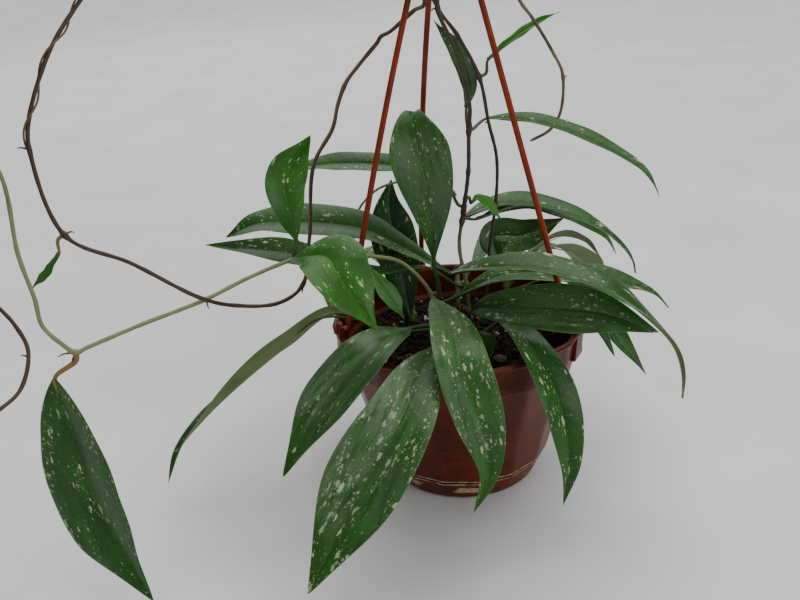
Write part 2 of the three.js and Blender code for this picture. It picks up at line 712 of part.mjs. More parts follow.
const plant = new THREE.Group();
plant.add(mesh("saucer", saucer(), terracotta()));
plant.add(mesh("pot", pot(), terracotta()));
plant.add(mesh("potting_mix", soil(), pottingMix()));
for (const [side, facet, bow] of LUG.facets) {
  plant.add(mesh(`hanger_rod_${side}`, rod(lugAngle(facet), bow), rodRed()));
}
plant.add(mesh("hanger_hook", hook(), rodRed()));
for (const name of Object.keys(STEMS)) plant.add(mesh(name, stem(name), STEMS[name].look()));
for (const name of Object.keys(LEAVES)) plant.add(mesh(name, leaf(name), leafLook(name)));

export default plant;
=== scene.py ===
# %% [markdown]
# # A potted hoya on its hanging pot
# The plant is a trailing wax plant with long, thick, speckled leaves. It grows in a facetted
# red-brown plastic pot with a clip-on saucer and three rods that meet in a hook.
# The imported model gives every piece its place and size. Each plain solid is replaced here by a
# finer surface of the same form, so this first cell loads the frame and keeps its box.

# %% Load the fixed frame
import bpy
import numpy as np
from mathutils import Matrix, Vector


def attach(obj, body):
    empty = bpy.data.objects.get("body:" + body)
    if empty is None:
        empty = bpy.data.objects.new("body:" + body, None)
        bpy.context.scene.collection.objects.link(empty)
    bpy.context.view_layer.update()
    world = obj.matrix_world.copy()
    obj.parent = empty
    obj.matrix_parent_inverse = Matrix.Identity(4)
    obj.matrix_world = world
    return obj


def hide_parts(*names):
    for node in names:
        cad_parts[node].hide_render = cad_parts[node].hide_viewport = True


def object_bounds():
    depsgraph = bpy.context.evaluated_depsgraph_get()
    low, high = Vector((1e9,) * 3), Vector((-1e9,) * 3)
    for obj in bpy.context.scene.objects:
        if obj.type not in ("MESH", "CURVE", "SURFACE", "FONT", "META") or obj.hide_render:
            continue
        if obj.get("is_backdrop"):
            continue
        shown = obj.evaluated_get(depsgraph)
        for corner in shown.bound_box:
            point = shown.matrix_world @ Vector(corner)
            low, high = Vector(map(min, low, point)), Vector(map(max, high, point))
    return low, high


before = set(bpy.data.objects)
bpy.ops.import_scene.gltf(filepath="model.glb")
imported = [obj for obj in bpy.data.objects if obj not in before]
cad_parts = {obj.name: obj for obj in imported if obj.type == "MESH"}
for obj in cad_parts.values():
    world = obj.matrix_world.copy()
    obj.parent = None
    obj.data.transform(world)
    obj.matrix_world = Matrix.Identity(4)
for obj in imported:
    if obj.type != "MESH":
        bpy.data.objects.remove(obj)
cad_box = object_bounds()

MM = 0.001
print("solids in the frame:", len(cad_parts))

# %% [markdown]
# ## The camera and the room
# The photograph looks down on the pot from the front. The camera is placed by five numbers: how
# far it stands from the foot of the pot, at what angle above it, and how it is turned, tilted and
# rolled. They could be set by eye, but a camera fitted to the pot's rim, its saucer and the
# meeting point of the rods gives the same view for every leaf.

# %% Camera
FOCAL_PIXELS = 934.15
IMAGE_WIDTH = 800
SENSOR_WIDTH = 36
DISTANCE, HEIGHT_ANGLE, ROLL, TURN, TILT = 0.64858, 34.435, -2.214, -3.563, 9.51


def unit(v):
    """Each vector divided by its own length."""
    v = np.asarray(v, float)
    return v / np.maximum(np.linalg.norm(v, axis=-1, keepdims=True), 1e-12)


def camera_axes():
    """The camera's place and its right, up and forward directions. It starts on a line to the
    origin, tilts up about its own right, turns about its own up, then rolls about its view."""
    e, roll, turn, tilt = np.radians([HEIGHT_ANGLE, ROLL, TURN, TILT])
    back = np.array([0, -np.cos(e), np.sin(e)])
    right = unit(np.cross(-back, [0, 0, 1]))
    up = np.cross(right, -back)
    ahead = -back * np.cos(tilt) + up * np.sin(tilt)
    up = np.cross(right, ahead)
    ahead = ahead * np.cos(turn) + right * np.sin(turn)
    right = unit(np.cross(ahead, up))
    up = np.cross(right, ahead)
    rolled = right * np.cos(roll) + up * np.sin(roll)
    return back * DISTANCE, rolled, -right * np.sin(roll) + up * np.cos(roll), ahead


place, right, up, ahead = camera_axes()
camera = bpy.data.objects.new("camera", bpy.data.cameras.new("camera"))
camera.data.sensor_width = SENSOR_WIDTH
camera.data.lens = FOCAL_PIXELS * SENSOR_WIDTH / IMAGE_WIDTH
matrix = np.eye(4)
matrix[:3, 0], matrix[:3, 1], matrix[:3, 2], matrix[:3, 3] = right, up, -ahead, place
camera.matrix_world = Matrix(matrix)
camera.data.clip_start = 0.02
bpy.context.scene.collection.objects.link(camera)
bpy.context.scene.camera = camera
print("camera at", np.round(place, 3), "lens", round(camera.data.lens, 1), "mm")

# %% [markdown]
# ## Small tools for materials
# A material is a chain of nodes. Short helpers keep each chain readable: they add a node, mix
# colours, do sums, turn a range of values into a soft step from 0 to 1, and give cloudy noise.

# %% Colours and nodes
def linear(*levels):
    """A colour from 0-255 display levels, made linear: the display curve is undone."""
    c = np.array(levels, float) / 255
    c = np.where(c <= 0.04045, c / 12.92, ((c + 0.055) / 1.055) ** 2.4)
    return (*c.tolist(), 1.0)


def add(kind, inputs, tree=None, **options):
    """Adds one shader node. An input that is a socket is linked, any other is set. The node goes
    into the tree of its first socket, and only a node without one is told its tree."""
    if tree is None:
        tree = next(value.id_data for value in inputs.values() if isinstance(value, bpy.types.NodeSocket))
    made = tree.nodes.new("ShaderNode" + kind)
    for key, value in options.items():
        setattr(made, key, value)
    for key, value in inputs.items():
        if isinstance(value, bpy.types.NodeSocket):
            tree.links.new(value, made.inputs[key])
        else:
            made.inputs[key].default_value = value
    return made


def mix(factor, a, b):
    """Colour a where the factor is 0, colour b where it is 1; three levels are made linear."""
    a, b = (linear(*colour) if isinstance(colour, tuple) else colour for colour in (a, b))
    return add("Mix", {0: factor, 6: a, 7: b}, data_type="RGBA").outputs[2]


def blend(factor, a, b):
    """Number a where the factor is 0, number b where it is 1."""
    return add("Mix", {0: factor, 2: a, 3: b}).outputs[0]


print("middle grey made linear:", round(linear(128, 128, 128)[0], 3))

# %% Sums and steps
def calc(operation, a, b=0.0):
    """One step of arithmetic."""
    return add("Math", {0: a, 1: b}, operation=operation).outputs[0]


def plus(a, b):
    """The sum of two values."""
    return calc("ADD", a, b)


def minus(a, b):
    """The difference of two values."""
    return calc("SUBTRACT", a, b)


def times(first, *others):
    """The product of two or more values."""
    for other in others:
        first = calc("MULTIPLY", first, other)
    return first


def larger(a, b):
    """The larger of two values."""
    return calc("MAXIMUM", a, b)


def size_of(value):
    """A value without its sign."""
    return calc("ABSOLUTE", value)


def step(value, low, high):
    """0 below low, 1 above high, with a smooth change between; reversed if low is above high."""
    flip = low > high
    ends = {0: value, 1: min(low, high), 2: max(low, high), 3: float(flip), 4: float(not flip)}
    return add("MapRange", ends, interpolation_type="SMOOTHSTEP").outputs[0]


print("sums and steps ready")

# %% Clouds, cells and places
def noise(where, scale=1.0, detail=2.0, rough=0.5):
    """Cloudy values round 0.5, scale clouds to a unit of the place that they read."""
    inputs = {"Vector": where, "Scale": scale, "Detail": detail, "Roughness": rough}
    return add("TexNoise", inputs).outputs[0]


def stretched(where, factors):
    """A place with each of its three numbers multiplied."""
    return add("VectorMath", {0: where, 1: factors}, operation="MULTIPLY").outputs[0]


def streaky(where, factors, detail=2.0, rough=0.5):
    """Cloudy values drawn out by a factor for each direction."""
    return noise(stretched(where, factors), 1.0, detail, rough)


def cells(where, factors):
    """Random cells drawn out by a factor for each direction: distance to the middle, and colour."""
    return add("TexVoronoi", {"Vector": stretched(where, factors), "Scale": 1.0}).outputs


def parts_of(vector):
    """The three numbers of a vector."""
    return add("SeparateXYZ", {0: vector}).outputs


def attribute(tree, name):
    """A vector that was stored on the mesh's points, and its three numbers."""
    out = add("Attribute", {}, tree, attribute_name=name).outputs["Vector"]
    return out, parts_of(out)


def object_place(tree):
    """The place on the object in metres."""
    return add("TexCoord", {}, tree).outputs["Object"]


print("clouds, cells and places ready")

# %% Materials and relief
def new_material(name, roughness, specular=0.5):
    """A material with one principled shader."""
    made = bpy.data.materials.new(name)
    made.use_nodes = True
    shader = made.node_tree.nodes["Principled BSDF"]
    shader.inputs["Roughness"].default_value = roughness
    shader.inputs["Specular IOR Level"].default_value = specular
    return made, made.node_tree, shader


def wire(shader, **sockets):
    """Links outputs to the shader's sockets, by names with spaces written as underscores."""
    for key, out in sockets.items():
        shader.id_data.links.new(out, shader.inputs[key.replace("_", " ")])


def bump(shader, height, strength, distance):
    """Raises the surface in the light only, by a height from 0 to 1 times a distance."""
    inputs = {"Height": height, "Strength": strength, "Distance": distance}
    wire(shader, Normal=add("Bump", inputs).outputs[0])


print("material helpers ready")

# %% [markdown]
# ## Small tools for shapes
# Every piece is a grid of points: rows along the piece, columns round or across it. Leaves,
# stems, rods, pot and lugs are all such grids, so one function joins a grid into faces, and one
# puts the arrays into a mesh. The others make circles, and places out of separate numbers.

# %% Grids of places
def circle(count):
    """Angles evenly spaced once round."""
    return np.linspace(0, 2 * np.pi, count, endpoint=False)


def stacked(x, y, z):
    """Three tables of numbers, each drawn out to the same shape, as one table of places."""
    return np.stack(np.broadcast_arrays(x, y, z), -1)


def round_body(profile, columns):
    """A profile of radii and heights carried round the axis: (r cos a, r sin a, z)."""
    a, radius = circle(columns), profile[:, :1]
    return stacked(radius * np.cos(a), radius * np.sin(a), profile[:, 1:])


def grid_faces(rows, columns, loop=False):
    """Four-sided faces of a grid whose rows are closed rings. With loop the last row joins the
    first; otherwise each end is closed by a fan round one extra point."""
    i = np.arange(rows if loop else rows - 1)[:, None]
    j = np.arange(columns)[None, :]
    a, b = i * columns + j, i * columns + (j + 1) % columns
    c, d = (i + 1) % rows * columns + (j + 1) % columns, (i + 1) % rows * columns + j
    quads = np.stack([a, b, c, d], -1).reshape(-1, 4)
    if loop:
        return quads, np.zeros((0, 3), int)
    j = np.arange(columns)
    last = (rows - 1) * columns
    first_fan = np.stack([(j + 1) % columns, j, np.full(columns, rows * columns)], -1)
    last_fan = np.stack([last + j, last + (j + 1) % columns, np.full(columns, rows * columns + 1)], -1)
    return quads, np.concatenate([first_fan, last_fan])


print("faces of a grid of 3 rings of 8:", sum(len(faces) for faces in grid_faces(3, 8)))

# %% Closed skins
def skin(grid, loop=False, material=0, **values):
    """A closed skin over a grid of rings, in millimetres, turned so that its faces point out.
    Values are stored for the materials; the two closing points take the mean of their ring."""
    rows, columns = grid.shape[:2]
    quads, fans = grid_faces(rows, columns, loop)

    def with_ends(table):
        flat = table.reshape(rows * columns, 3)
        return flat if loop else np.concatenate([flat, [table[0].mean(0), table[-1].mean(0)]])

    points = with_ends(grid)
    middle = points.mean(0)
    triangles = np.concatenate([quads[:, :3], quads[:, [0, 2, 3]], fans])
    p, q, r = (points[triangles[:, k]] - middle for k in range(3))
    if np.einsum("ij,ij->", p, np.cross(q, r)) < 0:
        quads, fans = quads[:, ::-1], fans[:, ::-1]
    stored = {name: with_ends(table) for name, table in values.items()}
    return {"points": points, "quads": quads, "fans": fans, "material": material, "values": stored}


print("points on a small square block:", len(skin(round_body(np.array([(1, 0), (1, 1)]), 4))["points"]))

# %% Pieces from skins
def put(name, skins, materials, replaces=()):
    """Joins skins into one mesh in metres, at the origin, with smooth faces, and makes it ride."""
    points = np.concatenate([s["points"] for s in skins]) * MM
    starts = np.cumsum([0] + [len(s["points"]) for s in skins])[:-1]
    quads = np.concatenate([s["quads"] + k for s, k in zip(skins, starts)])
    fans = np.concatenate([s["fans"] + k for s, k in zip(skins, starts)])
    mesh = bpy.data.meshes.new(name)
    mesh.vertices.add(len(points))
    mesh.vertices.foreach_set("co", points.astype(np.float32).ravel())
    mesh.loops.add(quads.size + fans.size)
    mesh.loops.foreach_set("vertex_index", np.concatenate([quads.ravel(), fans.ravel()]).astype(np.int32))
    mesh.polygons.add(len(quads) + len(fans))
    first = np.concatenate([np.arange(len(quads)) * 4, quads.size + np.arange(len(fans)) * 3])
    mesh.polygons.foreach_set("loop_start", first.astype(np.int32))
    index = [np.repeat([s["material"] for s in skins], [len(s[kind]) for s in skins])
             for kind in ("quads", "fans")]
    mesh.update(calc_edges=True)
    mesh.polygons.foreach_set("material_index", np.concatenate(index).astype(np.int32))
    mesh.polygons.foreach_set("use_smooth", np.ones(len(mesh.polygons), bool))
    for key in sorted({key for s in skins for key in s["values"]}):
        table = np.concatenate([s["values"].get(key, np.zeros((len(s["points"]), 3))) for s in skins])
        mesh.attributes.new(key, "FLOAT_VECTOR", "POINT")
        mesh.attributes[key].data.foreach_set("vector", table.astype(np.float32).ravel())
    mesh.validate()
    for made in materials:
        mesh.materials.append(made)
    piece = bpy.data.objects.new(name, mesh)
    bpy.context.scene.collection.objects.link(piece)
    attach(piece, "root")
    if replaces:
        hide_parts(*replaces)


print("piece maker ready")

# %% [markdown]
# ## Lines that pieces follow
# Stems and midribs are smooth lines through a few points. A spline with knots spaced by the
# square root of the distance between points (centripetal) doesn't overshoot at sharp turns. A
# tube needs a frame of two directions square to its line; carrying the last frame forward, with
# the smallest turn at each step, keeps the tube from twisting.

# %% Curves and tubes
def distances(line):
    """How far along the line each of its points lies."""
    return np.concatenate([[0], np.cumsum(np.linalg.norm(np.diff(line, axis=0), axis=1))])


def nearest(line, spot):
    """The number of the line's point that is nearest to a spot."""
    return int(np.argmin(np.linalg.norm(line - np.array(spot), axis=1)))


def spline(points, count):
    """A centripetal spline through the points, resampled to count places at equal distances.
    The line runs on past each end by one mirrored point."""
    p = np.asarray(points, float)
    p = np.concatenate([[2 * p[0] - p[1]], p, [2 * p[-1] - p[-2]]])
    gaps = np.maximum(np.linalg.norm(np.diff(p, axis=0), axis=1), 1e-9) ** 0.5
    u = np.linspace(0, 1, 60, endpoint=False)[None, :, None]
    p0, p1, p2, p3 = (p[k:len(p) - 3 + k, None, :] for k in range(4))
    d0, d1, d2 = (gaps[k:len(gaps) - 2 + k, None, None] for k in range(3))
    m1 = ((p1 - p0) / d0 - (p2 - p0) / (d0 + d1) + (p2 - p1) / d1) * d1
    m2 = ((p2 - p1) / d1 - (p3 - p1) / (d1 + d2) + (p3 - p2) / d2) * d1
    cubic = (p1 + m1 * u + (3 * (p2 - p1) - 2 * m1 - m2) * u**2 + (2 * (p1 - p2) + m1 + m2) * u**3)
    line = np.concatenate([cubic.reshape(-1, 3), p[-2:-1]])
    run = distances(line)
    at = np.linspace(0, run[-1], count)
    return np.stack([np.interp(at, run, line[:, k]) for k in range(3)], -1), run[-1]


def carried_frame(line):
    """Two directions square to the line at each place, carried along with the least turn."""
    ahead = unit(np.gradient(line, axis=0))
    side = unit(np.cross(ahead[0], [0.31, 0.17, 0.94]))
    sides = []
    for direction in ahead:
        side = unit(side - (side @ direction) * direction)
        sides.append(side)
    sides = np.array(sides)
    return ahead, sides, np.cross(ahead, sides)


def tube(line, radius, columns=14):
    """Rings of a radius round a line, square to it: centre + radius(cos a, sin a)."""
    _, sides, ups = carried_frame(line)
    a = circle(columns)
    ring = np.cos(a)[None, :, None] * sides[:, None] + np.sin(a)[None, :, None] * ups[:, None]
    return line[:, None] + ring * np.broadcast_to(radius, len(line))[:, None, None]


def rounded_ends(count, radius, ends=(1.0, 1.0)):
    """A radius for each of count places that closes like a dome over the first and last few."""
    t = np.arange(count) / 3.0
    dome = np.sqrt(np.clip(1 - (1 - np.minimum(t, 1)) ** 2, 0.02, 1))
    start = 1 - ends[0] * (1 - dome)
    return radius * start * (1 - ends[1] * (1 - dome[::-1]))


print("spline length check:", round(spline([(0, 0, 0), (10, 0, 0), (20, 0, 0)], 9)[1], 3))

# %% [markdown]
# ## The leaf's finish
# A hoya leaf is thick and waxy: deep green above with cream and grey-green flecks drawn out along
# the leaf, a paler midrib groove, a thin light margin, and a dull olive underside. The flecks could
# be painted, but they follow the growth of the leaf, so the material reads millimetres along and
# across the blade that the mesh stores: random cells with broken edges give flecks of three sizes,
# and stretched clouds the ragged splashes.

# %% Flecks
SPECK_EDGE = (0.34, 0.42)
LEAST_SPECK = (0.05, 0.09)


def speckle(where, factors, size, plenty):
    """Spots at the middles of random cells: each spot's size is its cell's own random number,
    raised to a power so that most stay small, and finer noise breaks up its edge."""
    spot = cells(where, factors)
    chance = parts_of(spot["Color"])
    reach = times(calc("POWER", chance[0], 2.2), size, plenty)
    finer = (2.6 * factors[0] + 0.5, 2.6 * factors[1] + 0.5, 1)
    broken = times(streaky(where, finer, 4.0, 0.65), 0.85)
    inside = minus(plus(reach, broken), spot["Distance"])
    return times(step(inside, *SPECK_EDGE), step(reach, *LEAST_SPECK)), chance[1]


def flecked(green, along, fine, flecks):
    """The green with pale flecks and splashes, and how much of each place they cover. The places
    are first pushed about, so that no fleck is round, and crowd together in some parts."""
    warp = add("TexNoise", {"Vector": stretched(along, (0.5, 0.7, 1)), "Scale": 1.0, "Detail": 2.0})
    push = stretched(warp.outputs[1], (2.4, 1.6, 0))
    wavy = add("VectorMath", {0: along, 1: push}, operation="ADD").outputs[0]
    crowd = step(streaky(along, (0.035, 0.1, 1)), 0.42, 0.62)
    plenty = times(plus(times(crowd, 0.75), 0.25), plus(times(flecks, 0.8), 0.45))
    large, shade = speckle(wavy, (0.13, 0.34, 1), 0.43, plenty)
    small, _ = speckle(wavy, (0.34, 0.62, 1.7), 0.46, plenty)
    tiny, _ = speckle(along, (0.7, 1.1, 2.3), 0.4, plenty)
    small = larger(small, times(tiny, 0.8))
    ragged = streaky(wavy, (0.07, 0.26, 1.3), 4.0, 0.6)
    splash = step(plus(ragged, times(flecks, 0.1)), 0.735, 0.755)
    spots = larger(larger(large, splash), times(small, 0.8))
    pale = mix(plus(times(shade, 0.6), times(fine, 0.5)), (104, 134, 82), (214, 218, 180))
    return mix(times(spots, 0.88), green, pale), spots


print("flecks ready, soft over", SPECK_EDGE)

# %% Leaf material
def leaf_material(name, deep, fresh, roughness):
    """Colour = deep to fresh green by cloud and by the leaf's own tone, then flecks, midrib, a painted
    grey sheen mostly on one half, and margin; the underside's olive is where the stored side is below 0."""
    made, tree, shader = new_material(name, roughness, 0.3)
    along, (run, millimetres, _) = attribute(tree, "leaf_mm")
    _, (t, across, side) = attribute(tree, "leaf_place")
    _, (flecks, tone, painted_sheen) = attribute(tree, "leaf_look")
    above = step(side, -0.25, 0.25)
    from_midrib = size_of(millimetres)

    cloud = streaky(along, (0.04, 0.09, 1), 3.0)
    fine = streaky(along, (0.35, 1.1, 1))
    green_amount = plus(times(step(cloud, 0.3, 0.75), 0.5), times(fine, 0.25))
    green = mix(plus(green_amount, tone), deep, fresh)
    spotted, spots = flecked(green, along, fine, flecks)
    rib = times(step(from_midrib, 0.75, 0.2), step(fine, 0.3, 0.8))
    ribbed = mix(times(rib, 0.4), spotted, (96, 130, 64))

    # painted sheen: grey-green where light would reflect off the wax, mostly on one half and fading
    # towards the tip
    sheen_half = plus(times(step(across, 0.02, 0.12), 0.55), 0.45)
    sheen_streaks = step(streaky(along, (0.05, 0.3, 1), 3.0), 0.25, 0.6)
    sheen_mask = times(painted_sheen, sheen_half, step(t, 0.93, 0.68), sheen_streaks)
    sheened_colour = mix(times(sheen_mask, 0.6), ribbed, (98, 120, 92))
    olive = mix(cloud, (74, 98, 52), (122, 138, 88))
    olive = mix(times(step(from_midrib, 1.6, 0.5), 0.5), olive, (140, 142, 92))
    margin = step(size_of(across), 0.972, 0.992)
    colour = mix(times(margin, 0.6), mix(above, olive, sheened_colour), (112, 134, 84))
    upper_rough = plus(roughness - 0.1, times(cloud, 0.2))
    wire(shader, Base_Color=colour, Roughness=blend(above, 0.6, upper_rough))

    veins = calc("SINE", times(minus(run, times(from_midrib, 0.8)), 0.8))
    grain = noise(along, 1.6, 3.0)
    bump(shader, plus(times(veins, 0.25), plus(grain, times(spots, -0.4))), 0.45, 0.0003)
    return made


old_leaf = leaf_material("leaf_dark", (6, 42, 2), (38, 98, 6), 0.36)
young_leaf = leaf_material("leaf_young", (18, 74, 2), (56, 122, 6), 0.36)
print("leaf materials:", old_leaf.name, young_leaf.name)

# %% [markdown]
# ## The stems' finish
# Young hoya stems are pale green; older ones turn brown and woody, sometimes within one stem. The
# mesh stores that tone along each stem, and the material blends between the two with streaks that
# run lengthwise and small pale pores.

# %% Stem material
def stem_material(name, greens, browns):
    """Colour = pale green to dark brown by the stored tone, with lengthwise streaks and a painted
    highlight:
    a tan edge along one side of the brown parts."""
    made, tree, shader = new_material(name, 0.5)
    where, (_, turn, tone) = attribute(tree, "stem_place")
    streaks = streaky(where, (0.12, 2.2, 0), 3.0)
    blotch = streaky(where, (0.05, 0.4, 0))
    amount = step(plus(tone, times(minus(blotch, 0.5), 0.7)), 0.2, 0.8)
    # painted highlight: one side of the brown parts made lighter, as if lit from that side
    painted_lit_edge = times(step(turn, 2.6, 3.8), step(blotch, 0.35, 0.6))
    brown = mix(times(painted_lit_edge, 0.7), mix(streaks, *browns), (122, 108, 58))
    pores = times(step(cells(where, (0.4, 1.2, 0))["Distance"], 0.2, 0.1), 0.35)
    colour = mix(pores, mix(amount, mix(streaks, *greens), brown), (150, 128, 92))
    wire(shader, Base_Color=colour)
    bump(shader, streaks, 0.5, 0.0003)
    return made


stem_bark = stem_material("stem_bark", [(70, 84, 40), (150, 156, 104)], [(18, 11, 6), (74, 46, 24)])
leaf_stalk = stem_material("leaf_stalk", [(26, 52, 14), (66, 92, 34)], [(30, 26, 12), (64, 52, 26)])
golden_stalk = stem_material("golden_stalk", [(96, 70, 22), (158, 124, 52)],
                             [(72, 46, 14), (122, 88, 36)])
print("stem materials:", stem_bark.name, leaf_stalk.name, golden_stalk.name)

# %% [markdown]
# ## The stems
# Each stem is a tube along a spline. It swells at each node, where leaves and rootlets leave it.
# The points, in millimetres, are those of the plain solids; the tone runs from 0, green, to 1,
# brown, at even steps from the first point to the last.

# %% Stem table
STEMS = {
    "vine_low": (1.2, [0, 0, 0, 0.1, 0.2, 0.5, 0.75, 0.7], [
        (-12, 6, 75), (-12, 6, 92), (-15, 3, 108), (-18, 0, 124), (-34, -1, 144), (-51, -8, 152),
        (-72, -18, 158), (-95, -30, 161), (-120, -45, 157), (-143, -60, 151), (-176, -80, 146),
        (-200, -96, 142), (-206, -100, 141), (-211, -101, 146), (-220, -101, 158), (-222, -98, 172),
        (-229, -90, 194), (-238, -72, 236), (-258, -68, 252), (-280, -72, 228), (-272, -80, 185),
        (-252, -79, 158), (-245, -82, 150), (-238, -88, 137), (-239, -104, 122), (-246, -115, 117),
        (-258, -120, 112)]),
    "vine_upright": (1.2, [0, 0, 0.95, 1, 1, 1, 1], [
        (7, 12, 75), (7, 12, 92), (6, 11, 119), (2, 10, 150), (5, 10, 170), (9, 7, 198),
        (10, 5, 223), (11, 4, 238), (8, 0, 257), (2, -1, 276), (-5, -6, 295), (-2, -13, 316),
        (1, -15, 338), (2, -13, 358), (3, -10, 374), (3, -8, 386)]),
    "vine_right": (1.05, [0.3, 0.8, 1, 1, 1], [
        (19, 32, 75), (19, 32, 92), (20, 31, 120), (22, 30, 143), (26, 30, 169), (27, 25, 200),
        (22, 15, 226), (17, 8, 254), (5, 5, 279), (-4, 5, 292), (-9, -2, 306), (-8, -12, 326),
        (-6, -14, 346), (-7, -12, 362), (-5, -11, 376)]),
    "vine_loop": (1.2, [1, 1, 0.85, 0.9, 0.75, 0.9, 1, 1], [
        (0, -4.2, 391), (-5, -9, 384), (-13, -15, 365), (-15, -18, 342), (-14, -16, 316),
        (-12, -11, 299), (-18, 1, 294), (-25, 7, 288), (-33, 8, 282), (-38, 6, 280), (-40, 6, 277),
        (-44, 4, 273), (-52, 0, 265), (-59, -4, 257), (-64, -8, 246), (-68, -10, 233),
        (-81, -10, 212), (-88, -12, 167), (-93, -24, 142), (-106, -38, 137), (-129, -52, 143),
        (-144, -66, 155), (-177, -72, 180), (-211, -70, 197), (-224, -60, 242), (-223, -55, 257),
        (-210, -40, 290), (-196, -20, 312), (-160, -8, 350), (-105, -2, 382), (-50, -1, 398),
        (-15, -0.5, 398), (-4.2, 0, 398)]),
    "shoot_hanging": (0.95, [1, 1, 1], [
        (3.4, -0.4, 390), (13, -8, 380), (28, -14, 340), (38, -12, 300), (47, 2, 286),
        (60, 22, 264), (69, 42, 244), (68, 48, 220), (62, 49, 210), (49, 49, 203)]),
    "shoot_back": (0.8, [0.1, 0.1], [
        (1.5, 16, 180), (-6, 24, 188), (-15, 30, 190), (-32, 40, 184), (-49, 47, 177),
        (-61, 53, 165), (-68, 55, 153)]),
    "stem_front": (1.6, [0.1, 0], [(6, -10, 75), (6, -10, 92), (5, -12, 101), (4, -15, 110)]),
    "stem_left_back": (1.5, [0.2, 0], [(-30, 28, 75), (-30, 28, 92), (-31, 29, 98), (-32, 30, 103)]),
    "stem_right_back": (1.6, [0.2, 0], [(34, 44, 75), (34, 44, 92), (33, 45, 105), (32, 47, 118)]),
    "stem_back": (1.5, [0.2, 0], [(0, 50, 75), (0, 50, 92), (0, 53, 102), (0, 56, 112)]),
}
STEM_LINES = {name: spline(points, 24 + 14 * len(points))[0] for name, (_, _, points) in STEMS.items()}
print("stems:", len(STEMS))

# %% [markdown]
# ## The leaves
# A blade is a surface of two numbers: how far along its midrib, and how far across. Its half
# width is a sine arch, whose widest place can be moved, drawn out to a point at the tip. The two
# halves fold up from the midrib, the margins turn down and wave a little, and some blades turn
# about their midrib. Subdividing a plane by hand would give such a leaf too, but with the formula
# each of the 32 leaves needs only its midrib, its width and the way that it faces.

